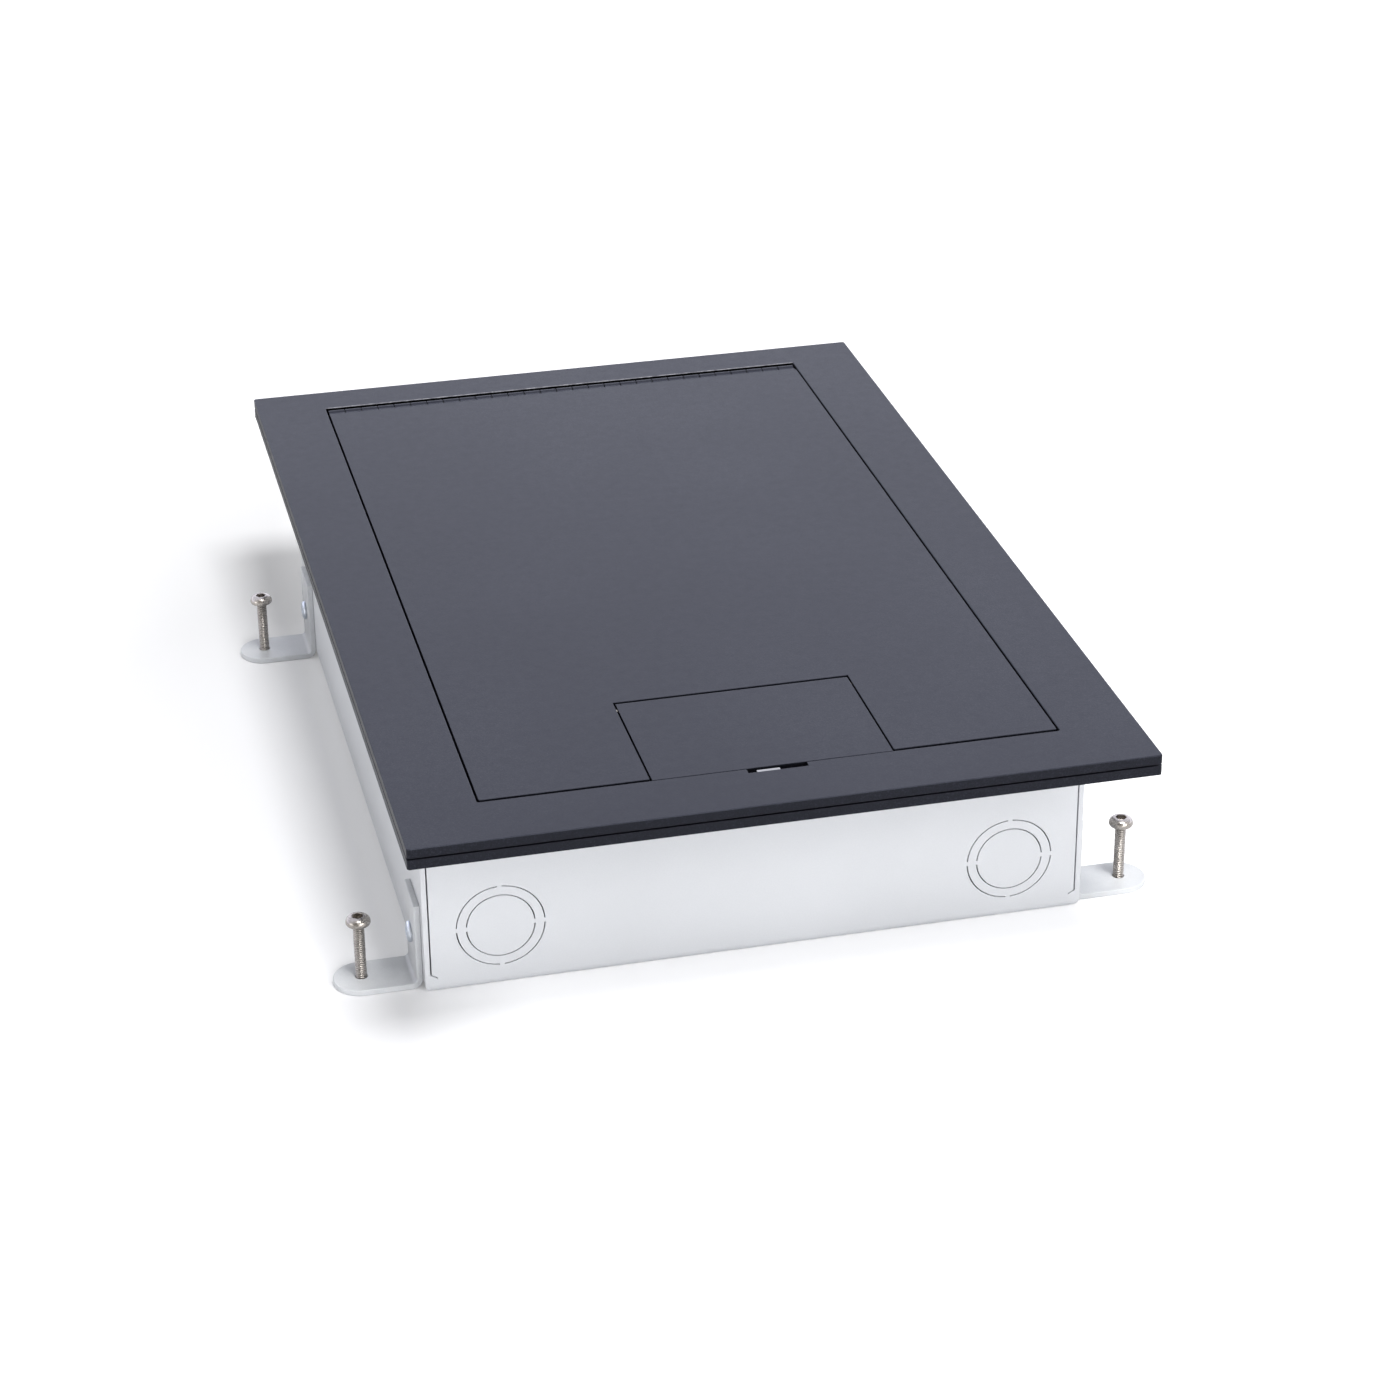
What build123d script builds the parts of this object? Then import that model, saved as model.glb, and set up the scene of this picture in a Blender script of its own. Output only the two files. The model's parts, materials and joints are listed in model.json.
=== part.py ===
import os

from build123d import *

os.makedirs("parts", exist_ok=True)

# A floor socket box: a folded steel box with a flat two-plate cover, a lid on a continuous hinge,
# a cable flap in the lid, and four feet with levelling screws. Millimetres. The front, with the
# flap, faces -Y and the hinge is at +Y. The origin is on the floor, under the middle of the cover.

# Cover stack, from below: support plate, gasket, trim plate
cover_width = 235.0
cover_depth = 360.5
cover_corner_radius = 1.0
support_thickness = 3.175
gasket_thickness = 0.55
gasket_setback = 1.6
trim_thickness = 3.175
arris_radius = 0.4
side_margin = 25.4
front_margin = 23.5
back_margin = 16.5
opening_corner_radius = 0.6
access_side_ledge = 4.6
access_end_ledge = 2.0
exit_width = 77.0
exit_wall_setback = 2.0

# Lid and its cable flap
lid_side_gap = 0.65
lid_front_gap = 1.1
lid_back_gap = 0.3
lid_corner_radius = 0.5
relief_length = 2.4
relief_depth = 0.45
flap_width = 76.2
flap_side_gap = 0.55
flap_front_gap = 0.15
flap_back_gap = 0.55
notch_depth = 52.35
flap_edge_radius = 1.0
flap_pivot_setback = 3.0
flap_pin_radius = 0.8
flap_pin_in_flap = 6.0
flap_pin_in_lid = 2.6
flap_pin_end_gap = 0.3
running_clearance = 0.05

# Continuous hinge
knuckle_count = 29
knuckle_gap = 0.25
hinge_pin_radius = 1.0
leaf_thickness = 1.0
barrel_gap = 0.6
lid_leaf_width = 18.0
frame_leaf_width = 14.0
hinge_pocket_depth = 0.75
hinge_pocket_gap = 0.6
rivet_radius = 1.5
rivet_head_radius = 2.3
rivet_grip = 2.0
rivet_count = 5
rivet_edge = 6.0
rivet_flare_angle = 38.0

# Slide latch in the front edge of the lid opening
latch_slot_width = 19.0
latch_slot_depth = 2.6
latch_slot_offset = 0.9
latch_slot_overrun = 1.0
latch_tab_width = 7.3
latch_tab_offset = -2.05
latch_tab_thickness = 1.1
latch_tab_below_top = 0.55
latch_body_length = 16.0
latch_body_depth = 7.0
latch_pocket_depth = 2.2
latch_travel = 8.0
latch_back_travel = 2.5
latch_clearance = 0.3
latch_floor_gap = 0.05
latch_top_gap = 0.15
latch_arm_width = 2.0
latch_arm_start = -10.0
finger_length = 7.5
finger_thickness = 1.4
finger_height = 1.2
hook_gap = 0.8
hook_length = 5.0
hook_web = 1.2
hook_toe = 0.85
hook_flange_length = 5.0
hook_flange = 0.8
hook_clearance = 0.2

# Lid seal on the support plate
seal_width = 2.2
seal_inset = 0.9
seal_clearance = 0.05
seal_back_from_leaf = 3.0

# Folded box
cover_side_overhang = 9.55
cover_end_overhang = 41.75
box_height = 70.0
wall = 1.6
bend_radius = 3.6
flange_width = 13.0
seam_width = 0.5
seam_bottom = 7.4
relief_run = 2.1
relief_fall = 1.3
mitre_angle = 45.0
knockout_outer_radius = 14.3
knockout_inner_radius = 11.1
knockout_slit = 0.4
knockout_tab = 1.5
knockout_from_side = 24.6
knockout_height = 22.0
floor_hole_radius = 2.75
floor_hole_spacing_x = 140.0
floor_hole_spacing_y = 190.0

# Feet and levelling screws
foot_thickness = 2.0
foot_width = 18.0
foot_bend_radius = 1.5
foot_leg_height = 30.0
foot_screw_reach = 18.4
foot_front_setback = 13.5
foot_back_setback = 22.1
fixing_screw_height = 16.0
leveling_screw_radius = 2.0
leveling_screw_length = 20.0
leveling_screw_lift = 1.0

# Machine screws: shank radius, head radius and head height
small_screw_radius = 1.5
small_head_radius = 2.8
small_head_height = 1.8
screw_radius = 2.0
pan_head_radius = 4.0
pan_head_height = 3.1
pan_head_crown = 1.9
socket_across_flats = 3.2
fixing_head_radius = 3.4
fixing_head_height = 1.4
fixing_head_crown = 0.9
small_screw_length = 4.5
flat_head_radius = 3.75
flat_head_angle = 90.0
thread_clearance = 0.05
nut_across_flats = 7.0
nut_height = 3.2
cover_screw_x = 75.0
cover_screw_length = 8.0
trim_screw_side_edge = 4.9
trim_screw_end_edge = 8.25
trim_screw_middle_y = 60.0
trim_screw_depth = 2.3

# Inner bracket, divider and wiring compartment
sheet = 1.5
sheet_bend = 1.5
inner_side_gap = 0.5
bracket_corner_relief = 2.5
wiring_depth = 118.9
bracket_height = 56.4
bracket_flange = 14.0
device_height = 30.0
stud_radius = 2.0
stud_length = 7.5
stud_x = 85.0
stud_from_face = 7.5
window_height = 40.0
plate_height = 46.0
plate_margin = 7.0
power_x = -46.0
power_window_gap = 1.0
data_x = 58.0
data_window_width = 74.0
rear_angle_leg = 14.0
divider_x = 12.0
divider_foot = 12.0
divider_stud_from_face = 32.0
divider_stud_pitch = 50.0
divider_gap = 0.5
cover_fixing_x = 80.0
ground_pad_radius = 7.0
ground_pad_rise = 2.4
ground_pad_x = -85.0
ground_pad_from_face = 52.0
ground_screw_length = 3.4
ground_head_flats = 8.0
ground_head_height = 3.0

# Duplex receptacle
outlet_spacing = 38.9
outlet_face_radius = 17.45
outlet_face_width = 28.6
outlet_face_proud = 0.8
outlet_clearance = 0.3
receptacle_beyond_outlet = 14.55
receptacle_height = 33.0
receptacle_front_depth = 12.0
receptacle_base_depth = 14.0
strap_thickness = 1.0
strap_height = 19.0
strap_ear = 13.0
strap_screw_from_end = 5.35
strap_clearance = 0.25
blade_slot_spacing = 12.7
blade_slot_width = 1.8
hot_slot_length = 7.0
neutral_slot_length = 8.8
ground_hole_radius = 2.5
ground_from_blades = 11.9
blade_from_centre = 4.5
bus_beyond_outlet = 9.55
bus_sheet = 0.6
bus_inside = 1.0
bus_depth = 12.0
bus_in_front = 4.0
bus_clearance = 0.3
terminal_radius = 3.4
terminal_height = 1.8
ground_terminal_depth = 4.0
ground_clip_reach = 8.0
clip_wall = 0.5
clip_clearance = 0.2

# Data jacks
jack_count = 3
jack_pitch = 22.0
jack_width = 14.5
jack_height = 16.2
jack_depth = 24.0
jack_clearance = 0.2
port_width = 11.7
port_height = 7.0
port_depth = 13.0
latch_port_width = 6.0
latch_port_height = 2.6
flange_reach = 1.4
flange_depth = 2.0
snap_reach = 0.5
snap_depth = 0.8
wire_count = 8
wire_pitch = 1.02
wire_size = 0.35
wire_rise = 2.3
wire_length = 9.0

# Heights, from the floor up
support_bottom = box_height
support_top = support_bottom + support_thickness
trim_bottom = support_top + gasket_thickness
cover_top = trim_bottom + trim_thickness
lid_bottom = trim_bottom
lid_thickness = cover_top - lid_bottom

# Places in plan
cover_front = -cover_depth / 2
cover_back = cover_depth / 2
opening_front = cover_front + front_margin
opening_back = cover_back - back_margin
opening_width = cover_width - 2 * side_margin
opening_length = opening_back - opening_front
opening_middle = (opening_front + opening_back) / 2
lid_width = opening_width - 2 * lid_side_gap
lid_front = opening_front + lid_front_gap
barrel_radius = hinge_pin_radius + leaf_thickness
hinge_y = opening_back - barrel_gap - barrel_radius
hinge_z = lid_bottom - leaf_thickness + barrel_radius
lid_back = hinge_y - barrel_radius - lid_back_gap
notch_width = flap_width + 2 * flap_side_gap
notch_back = lid_front + notch_depth
flap_front = opening_front + flap_front_gap
flap_back = notch_back - flap_back_gap
flap_axis_y = flap_back - flap_pivot_setback
flap_axis_z = lid_bottom + lid_thickness / 2

box_width = cover_width - 2 * cover_side_overhang
box_depth = cover_depth - 2 * cover_end_overhang
trim_screw_x = cover_width / 2 - trim_screw_side_edge
trim_screw_corner_y = cover_depth / 2 - trim_screw_end_edge
box_front = -box_depth / 2
box_back = box_depth / 2
inner_width = box_width - 2 * wall
inner_depth = box_depth - 2 * wall
flange_bottom = box_height - wall
access_width = lid_width - 2 * access_side_ledge
access_depth = inner_depth - 2 * flange_width - 2 * access_end_ledge
exit_front = -inner_depth / 2 + exit_wall_setback
cover_screw_y = inner_depth / 2 - flange_width / 2
bracket_face_y = inner_depth / 2 - wiring_depth
receptacle_width = outlet_spacing + 2 * receptacle_beyond_outlet
bus_length = outlet_spacing + 2 * bus_beyond_outlet
strap_length = receptacle_width + 2 * strap_ear
strap_screw_spacing = strap_length - 2 * strap_screw_from_end
power_window_width = strap_length + 2 * power_window_gap


def write_piece(piece, label):
    piece.label = label
    export_step(piece, f"parts/{label}.step")


def along_x(x_start):
    return Plane(origin=(x_start, 0, 0), x_dir=(0, 1, 0), z_dir=(1, 0, 0))


def facing_front(y_place):
    return Plane(origin=(0, y_place, 0), x_dir=(1, 0, 0), z_dir=(0, -1, 0))


def facing_back(y_place):
    return Plane(origin=(0, y_place, 0), x_dir=(-1, 0, 0), z_dir=(0, 1, 0))


# Folded box: floor and side walls in one bend line each, end walls set between them
foot_front_y = foot_front_setback - box_depth / 2
foot_back_y = box_depth / 2 - foot_back_setback
foot_screw_places = [(foot_front_y, fixing_screw_height), (foot_back_y, fixing_screw_height)]
knockout_x = box_width / 2 - knockout_from_side
seam_x = box_width / 2 - wall - seam_width / 2
seam_foot = seam_bottom - seam_width
stud_y = bracket_face_y + stud_from_face
divider_stud_y = bracket_face_y + divider_stud_from_face
ground_pad_y = bracket_face_y + ground_pad_from_face
divider_studs = [
    (divider_x + divider_foot / 2, divider_stud_y),
    (divider_x + divider_foot / 2, divider_stud_y + divider_stud_pitch),
]
floor_holes = GridLocations(floor_hole_spacing_x, floor_hole_spacing_y, 2, 2)

with BuildPart() as box_body:
    with BuildSketch():
        Rectangle(box_width, box_depth)
    extrude(amount=box_height)
    level_edges = box_body.edges().filter_by(Plane.XY)
    fillet(level_edges, bend_radius)
    with BuildSketch(Plane.XY.offset(wall)):
        Rectangle(inner_width, inner_depth)
    extrude(amount=box_height - 2 * wall, mode=Mode.SUBTRACT)
    inner_edges = box_body.edges().filter_by_position(Axis.Z, wall, wall)
    inner_edges += box_body.edges().filter_by_position(Axis.Z, flange_bottom, flange_bottom)
    fillet(inner_edges, bend_radius - wall)
    with BuildSketch(Plane.XY.offset(flange_bottom)):
        Rectangle(inner_width - 2 * flange_width, inner_depth - 2 * flange_width)
        with Locations((0, -inner_depth / 2 + flange_width / 2)):
            Rectangle(exit_width, flange_width)
    extrude(amount=wall, mode=Mode.SUBTRACT)
    with BuildSketch(Plane.XY.offset(flange_bottom)):
        for side in (-1, 1):
            for end in (-1, 1):
                mitre_x = side * (inner_width - flange_width) / 2
                mitre_y = end * (inner_depth - flange_width) / 2
                with Locations((mitre_x, mitre_y)):
                    Rectangle(2 * flange_width, seam_width, rotation=mitre_angle * side * end)
    extrude(amount=wall, mode=Mode.SUBTRACT)
    for plane in (facing_front(box_front), facing_back(box_back)):
        with BuildSketch(plane):
            for side in (-1, 1):
                with Locations((side * seam_x, (seam_foot + flange_bottom) / 2)):
                    Rectangle(seam_width, flange_bottom - seam_foot)
                with BuildLine():
                    Polyline(
                        (side * (seam_x + seam_width / 2), seam_bottom),
                        (side * (seam_x - relief_run), seam_bottom - relief_fall),
                        (side * (seam_x - relief_run), seam_bottom - relief_fall - seam_width),
                        (side * (seam_x + seam_width / 2), seam_foot),
                        close=True,
                    )
                make_face()
        extrude(amount=-wall - bend_radius / 2, mode=Mode.SUBTRACT)
        with BuildSketch(plane):
            with Locations((-knockout_x, knockout_height), (knockout_x, knockout_height)):
                Circle(knockout_outer_radius)
                Circle(knockout_outer_radius - knockout_slit, mode=Mode.SUBTRACT)
            with Locations((-knockout_x, knockout_height), (knockout_x, knockout_height)):
                Rectangle(knockout_tab, 2 * knockout_outer_radius, mode=Mode.SUBTRACT)
                Rectangle(2 * knockout_outer_radius, knockout_tab, mode=Mode.SUBTRACT)
        extrude(amount=-wall, mode=Mode.SUBTRACT)
        with BuildSketch(plane):
            with Locations((-knockout_x, knockout_height), (knockout_x, knockout_height)):
                Circle(knockout_inner_radius)
                Circle(knockout_inner_radius - knockout_slit, mode=Mode.SUBTRACT)
            with Locations((-knockout_x, knockout_height), (knockout_x, knockout_height)):
                Rectangle(2 * knockout_inner_radius, knockout_tab, mode=Mode.SUBTRACT)
        extrude(amount=-wall, mode=Mode.SUBTRACT)
    with BuildSketch():
        with floor_holes:
            Circle(floor_hole_radius)
    extrude(amount=wall, mode=Mode.SUBTRACT)
    with BuildSketch(along_x(-box_width / 2)):
        with Locations(*foot_screw_places):
            Circle(screw_radius + thread_clearance)
    extrude(amount=box_width, mode=Mode.SUBTRACT)
    with BuildSketch(Plane.XY.offset(flange_bottom)):
        with GridLocations(2 * cover_screw_x, 2 * cover_screw_y, 2, 2):
            Circle(screw_radius + thread_clearance)
    extrude(amount=wall, mode=Mode.SUBTRACT)
    with BuildSketch(Plane.XY.offset(wall)):
        with Locations((-stud_x, stud_y), (stud_x, stud_y), *divider_studs):
            Circle(stud_radius)
    extrude(amount=stud_length)
    with BuildSketch():
        with Locations((ground_pad_x, ground_pad_y)):
            Circle(ground_pad_radius)
    extrude(amount=ground_pad_rise + wall)
    with BuildSketch():
        with Locations((ground_pad_x, ground_pad_y)):
            Circle(ground_pad_radius - wall)
    extrude(amount=ground_pad_rise, mode=Mode.SUBTRACT)
    with BuildSketch():
        with Locations((ground_pad_x, ground_pad_y)):
            Circle(screw_radius + thread_clearance)
    extrude(amount=ground_pad_rise + wall, mode=Mode.SUBTRACT)
write_piece(box_body.part, "box_body")

# Support plate: the ledge that the lid closes on, with pockets for the hinge and the latch
hinge_pocket_front = hinge_y - lid_leaf_width - hinge_pocket_gap
hinge_pocket_back = hinge_y + frame_leaf_width + hinge_pocket_gap
latch_tab_front = opening_front - latch_slot_depth + latch_clearance
latch_tab_back = latch_tab_front + latch_tab_thickness
latch_body_back = latch_tab_back
latch_body_front = latch_body_back - latch_body_depth
latch_body_left = latch_tab_offset - latch_body_length / 2
finger_back = opening_front + hook_clearance + 2 * finger_thickness
finger_front = finger_back - finger_thickness
hook_web_front = finger_back + hook_clearance + latch_clearance
hook_web_back = hook_web_front + hook_web
finger_start = latch_arm_start + latch_arm_width
hook_start = finger_start + finger_length + hook_gap
pocket_left = min(latch_body_left, latch_arm_start) - latch_back_travel - latch_clearance
pocket_right = latch_body_left + latch_body_length + latch_travel + latch_clearance
pocket_front = latch_body_front - latch_clearance
hook_flange_back = hook_web_back + hook_flange_length
pocket_back = hook_flange_back + latch_clearance
pocket_width = pocket_right - pocket_left
pocket_middle = (pocket_left + pocket_right) / 2
latch_pocket_floor = support_top - latch_pocket_depth

with BuildPart() as support_plate:
    with BuildSketch(Plane.XY.offset(support_bottom)):
        RectangleRounded(cover_width, cover_depth, cover_corner_radius)
        Rectangle(access_width, access_depth, mode=Mode.SUBTRACT)
        with Locations((0, (exit_front - access_depth / 2) / 2)):
            Rectangle(exit_width, -access_depth / 2 - exit_front, mode=Mode.SUBTRACT)
    extrude(amount=support_thickness)
    with BuildSketch(Plane.XY.offset(support_top)):
        with Locations((0, (hinge_pocket_front + hinge_pocket_back) / 2)):
            Rectangle(opening_width, hinge_pocket_back - hinge_pocket_front)
    extrude(amount=-hinge_pocket_depth, mode=Mode.SUBTRACT)
    with BuildSketch(Plane.XY.offset(support_top)):
        with Locations((pocket_middle, (pocket_front + pocket_back) / 2)):
            Rectangle(pocket_width, pocket_back - pocket_front)
    extrude(amount=-latch_pocket_depth, mode=Mode.SUBTRACT)
    with Locations(Plane.XY.offset(support_top)):
        with GridLocations(2 * cover_screw_x, 2 * cover_screw_y, 2, 2):
            CounterSinkHole(screw_radius + thread_clearance, flat_head_radius + thread_clearance)
    with Locations(Plane.XY.offset(support_bottom).rotated((180, 0, 0))):
        with GridLocations(2 * trim_screw_x, 2 * trim_screw_corner_y, 2, 2):
            CounterSinkHole(screw_radius + thread_clearance, flat_head_radius + thread_clearance)
        with GridLocations(2 * trim_screw_x, 2 * trim_screw_middle_y, 2, 2):
            CounterSinkHole(screw_radius + thread_clearance, flat_head_radius + thread_clearance)
write_piece(support_plate.part, "support_plate")

# Thin gasket between the two cover plates, seen as the dark line round the cover
gasket_opening = opening_width + 2 * gasket_setback

with BuildPart() as cover_gasket:
    with BuildSketch(Plane.XY.offset(support_top)):
        Rectangle(cover_width - 2 * gasket_setback, cover_depth - 2 * gasket_setback)
        with Locations((0, opening_middle)):
            Rectangle(gasket_opening, opening_length + 2 * gasket_setback, mode=Mode.SUBTRACT)
        with Locations((0, (opening_middle + hinge_pocket_back) / 2)):
            Rectangle(gasket_opening, hinge_pocket_back - opening_middle, mode=Mode.SUBTRACT)
        with Locations((pocket_middle, (pocket_front + opening_middle) / 2)):
            Rectangle(pocket_width, opening_middle - pocket_front, mode=Mode.SUBTRACT)
        with GridLocations(2 * trim_screw_x, 2 * trim_screw_corner_y, 2, 2):
            Circle(screw_radius + gasket_thickness, mode=Mode.SUBTRACT)
        with GridLocations(2 * trim_screw_x, 2 * trim_screw_middle_y, 2, 2):
            Circle(screw_radius + gasket_thickness, mode=Mode.SUBTRACT)
    extrude(amount=gasket_thickness)
write_piece(cover_gasket.part, "cover_gasket")

# Trim plate: the painted frame round the lid, with the latch slot in its front edge
lid_rivet_y = hinge_y - lid_leaf_width + rivet_edge
frame_rivet_y = hinge_y + frame_leaf_width - rivet_edge
rivet_pitch = (lid_width - 4 * rivet_edge) / (rivet_count - 1)

with BuildPart() as trim_plate:
    with BuildSketch(Plane.XY.offset(trim_bottom)):
        RectangleRounded(cover_width, cover_depth, cover_corner_radius)
        with Locations((0, opening_middle)):
            RectangleRounded(opening_width, opening_length, opening_corner_radius, mode=Mode.SUBTRACT)
    extrude(amount=trim_thickness)
    fillet(trim_plate.faces().sort_by(Axis.Z)[-1].edges(), arris_radius)
    with BuildSketch(Plane.XY.offset(trim_bottom)):
        with Locations((latch_slot_offset, opening_front + (latch_slot_overrun - latch_slot_depth) / 2)):
            Rectangle(latch_slot_width, latch_slot_depth + latch_slot_overrun)
    extrude(amount=trim_thickness, mode=Mode.SUBTRACT)
    with BuildSketch(Plane.XY.offset(trim_bottom)):
        with Locations((0, frame_rivet_y)):
            with GridLocations(rivet_pitch, 0, rivet_count, 1):
                Circle(rivet_radius)
    extrude(amount=rivet_grip, mode=Mode.SUBTRACT)
    with BuildSketch(Plane.XY.offset(trim_bottom)):
        with GridLocations(2 * trim_screw_x, 2 * trim_screw_corner_y, 2, 2):
            Circle(screw_radius + thread_clearance)
        with GridLocations(2 * trim_screw_x, 2 * trim_screw_middle_y, 2, 2):
            Circle(screw_radius + thread_clearance)
    extrude(amount=trim_screw_depth, mode=Mode.SUBTRACT)
write_piece(trim_plate.part, "trim_plate")

# Lid seal: a strip on the ledge under the lid's rim, left open at the latch
seal_side = lid_width / 2 - seal_inset
seal_front = lid_front + seal_inset
seal_back = hinge_y - lid_leaf_width - seal_back_from_leaf
seal_length = seal_back - seal_front

with BuildPart() as lid_seal:
    with BuildSketch(Plane.XY.offset(support_top)):
        with Locations((0, (seal_front + seal_back) / 2)):
            Rectangle(2 * seal_side, seal_length)
            Rectangle(2 * seal_side - 2 * seal_width, seal_length - 2 * seal_width, mode=Mode.SUBTRACT)
        with Locations((pocket_middle, seal_front)):
            Rectangle(pocket_width, 2 * (pocket_back - seal_front), mode=Mode.SUBTRACT)
    extrude(amount=gasket_thickness - seal_clearance)
write_piece(lid_seal.part, "lid_seal")

# Flat-head screws: support plate to box from above, trim plate to support plate from below
sink_depth = flat_head_radius - screw_radius
trim_screw_places = [
    (side * trim_screw_x, end * reach)
    for side in (-1, 1)
    for end in (-1, 1)
    for reach in (trim_screw_corner_y, trim_screw_middle_y)
]

with BuildPart() as cover_screws:
    with BuildSketch(Plane.XY.offset(support_top)):
        with GridLocations(2 * cover_screw_x, 2 * cover_screw_y, 2, 2):
            Circle(flat_head_radius)
    extrude(amount=-sink_depth, taper=flat_head_angle / 2)
    with BuildSketch(Plane.XY.offset(support_top - sink_depth)):
        with GridLocations(2 * cover_screw_x, 2 * cover_screw_y, 2, 2):
            Circle(screw_radius)
    extrude(amount=sink_depth - cover_screw_length)
write_piece(cover_screws.part, "cover_screws")

trim_screw_length = support_thickness + gasket_thickness + trim_screw_depth - latch_clearance
with BuildPart() as trim_screws:
    with BuildSketch(Plane.XY.offset(support_bottom)):
        with Locations(*trim_screw_places):
            Circle(flat_head_radius)
    extrude(amount=sink_depth, taper=flat_head_angle / 2)
    with BuildSketch(Plane.XY.offset(support_bottom + sink_depth)):
        with Locations(*trim_screw_places):
            Circle(screw_radius)
    extrude(amount=trim_screw_length - sink_depth)
write_piece(trim_screws.part, "trim_screws")

# Slide latch: a flat slider with its tab up in the slot and a finger that locks the flap's hook
latch_bottom = latch_pocket_floor + latch_floor_gap
latch_body_top = trim_bottom - latch_top_gap
latch_tab_top = cover_top - latch_tab_below_top
finger_top = lid_bottom - hook_clearance
finger_bottom = finger_top - finger_height
hook_toe_top = finger_bottom - hook_clearance
hook_bottom = hook_toe_top - hook_toe

with BuildPart() as latch_slider:
    with BuildSketch(Plane.XY.offset(latch_bottom)):
        with Locations((latch_tab_offset, (latch_body_front + latch_body_back) / 2)):
            Rectangle(latch_body_length, latch_body_depth)
    extrude(amount=latch_body_top - latch_bottom)
    with BuildSketch(Plane.XY.offset(latch_bottom)):
        with Locations((latch_tab_offset, (latch_tab_front + latch_tab_back) / 2)):
            Rectangle(latch_tab_width, latch_tab_back - latch_tab_front)
    extrude(amount=latch_tab_top - latch_bottom)
    with BuildSketch(Plane.XY.offset(finger_bottom)):
        with Locations((latch_arm_start + latch_arm_width / 2, (latch_body_back + finger_back) / 2)):
            Rectangle(latch_arm_width, finger_back - latch_body_back)
        with Locations((finger_start + finger_length / 2, (finger_front + finger_back) / 2)):
            Rectangle(finger_length, finger_thickness)
    extrude(amount=finger_top - finger_bottom)
write_piece(latch_slider.part, "latch_slider")

# Lid plate with its notch for the flap, a relief step at the hinge edge and blind holes below
with BuildPart() as lid_plate:
    with BuildSketch(Plane.XY.offset(lid_bottom)):
        with Locations((0, (lid_front + lid_back) / 2)):
            RectangleRounded(lid_width, lid_back - lid_front, lid_corner_radius)
        with Locations((0, lid_front + notch_depth / 2)):
            Rectangle(notch_width, notch_depth, mode=Mode.SUBTRACT)
    extrude(amount=lid_thickness)
    fillet(lid_plate.faces().sort_by(Axis.Z)[-1].edges(), arris_radius / 2)
    with BuildSketch(Plane.XY.offset(cover_top)):
        with Locations((0, lid_back - relief_length / 2)):
            Rectangle(lid_width, relief_length)
    extrude(amount=-relief_depth, mode=Mode.SUBTRACT)
    with BuildSketch(Plane.XY.offset(lid_bottom)):
        with Locations((0, lid_rivet_y)):
            with GridLocations(rivet_pitch, 0, rivet_count, 1):
                Circle(rivet_radius)
    extrude(amount=rivet_grip, mode=Mode.SUBTRACT)
    with BuildSketch(along_x(-notch_width / 2 - flap_pin_in_lid)):
        with Locations((flap_axis_y, flap_axis_z)):
            Circle(flap_pin_radius + running_clearance)
    extrude(amount=notch_width + 2 * flap_pin_in_lid, mode=Mode.SUBTRACT)
write_piece(lid_plate.part, "lid_plate")

# Continuous hinge: two rolled leaves with alternating knuckles on one pin
knuckle_pitch = lid_width / knuckle_count
knuckle_length = knuckle_pitch - knuckle_gap
hinge_start = -lid_width / 2
knuckle_starts = [
    hinge_start + index * knuckle_pitch + knuckle_gap / 2
    for index in range(knuckle_count)
]
bore_radius = hinge_pin_radius + running_clearance
leaf_z = lid_bottom - leaf_thickness
tongue_length = barrel_radius + 2 * lid_back_gap


def roll_leaf(starts, reach, width, rivet_y):
    with BuildPart() as leaf:
        with BuildSketch(*[along_x(start) for start in starts]):
            with Locations((hinge_y, hinge_z)):
                Circle(barrel_radius)
            with Locations((hinge_y + reach * tongue_length / 2, leaf_z + leaf_thickness / 2)):
                Rectangle(tongue_length, leaf_thickness)
        extrude(amount=knuckle_length)
        with BuildSketch(Plane.XY.offset(leaf_z)):
            with Locations((0, hinge_y + reach * (width + barrel_radius + lid_back_gap) / 2)):
                Rectangle(lid_width - knuckle_gap, width - barrel_radius - lid_back_gap)
        extrude(amount=leaf_thickness)
        with BuildSketch(along_x(hinge_start)):
            with Locations((hinge_y, hinge_z)):
                Circle(bore_radius)
        extrude(amount=lid_width, mode=Mode.SUBTRACT)
        with BuildSketch(Plane.XY.offset(leaf_z)):
            with Locations((0, rivet_y)):
                with GridLocations(rivet_pitch, 0, rivet_count, 1):
                    Circle(rivet_head_radius)
        extrude(amount=leaf_thickness, taper=rivet_flare_angle, mode=Mode.SUBTRACT)
        return leaf.part


write_piece(roll_leaf(knuckle_starts[0::2], 1, frame_leaf_width, frame_rivet_y), "hinge_frame_leaf")
write_piece(roll_leaf(knuckle_starts[1::2], -1, lid_leaf_width, lid_rivet_y), "hinge_lid_leaf")

with BuildPart() as hinge_pin:
    with BuildSketch(along_x(hinge_start + knuckle_gap)):
        with Locations((hinge_y, hinge_z)):
            Circle(hinge_pin_radius)
    extrude(amount=lid_width - 2 * knuckle_gap)
write_piece(hinge_pin.part, "hinge_pin")


def make_rivets(rivet_y):
    with BuildPart() as rivets:
        with BuildSketch(Plane.XY.offset(leaf_z)):
            with Locations((0, rivet_y)):
                with GridLocations(rivet_pitch, 0, rivet_count, 1):
                    Circle(rivet_head_radius)
        extrude(amount=leaf_thickness, taper=rivet_flare_angle)
        with BuildSketch(Plane.XY.offset(lid_bottom)):
            with Locations((0, rivet_y)):
                with GridLocations(rivet_pitch, 0, rivet_count, 1):
                    Circle(rivet_radius)
        extrude(amount=rivet_grip)
        return rivets.part


write_piece(make_rivets(lid_rivet_y), "hinge_lid_rivets")
write_piece(make_rivets(frame_rivet_y), "hinge_frame_rivets")

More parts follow.
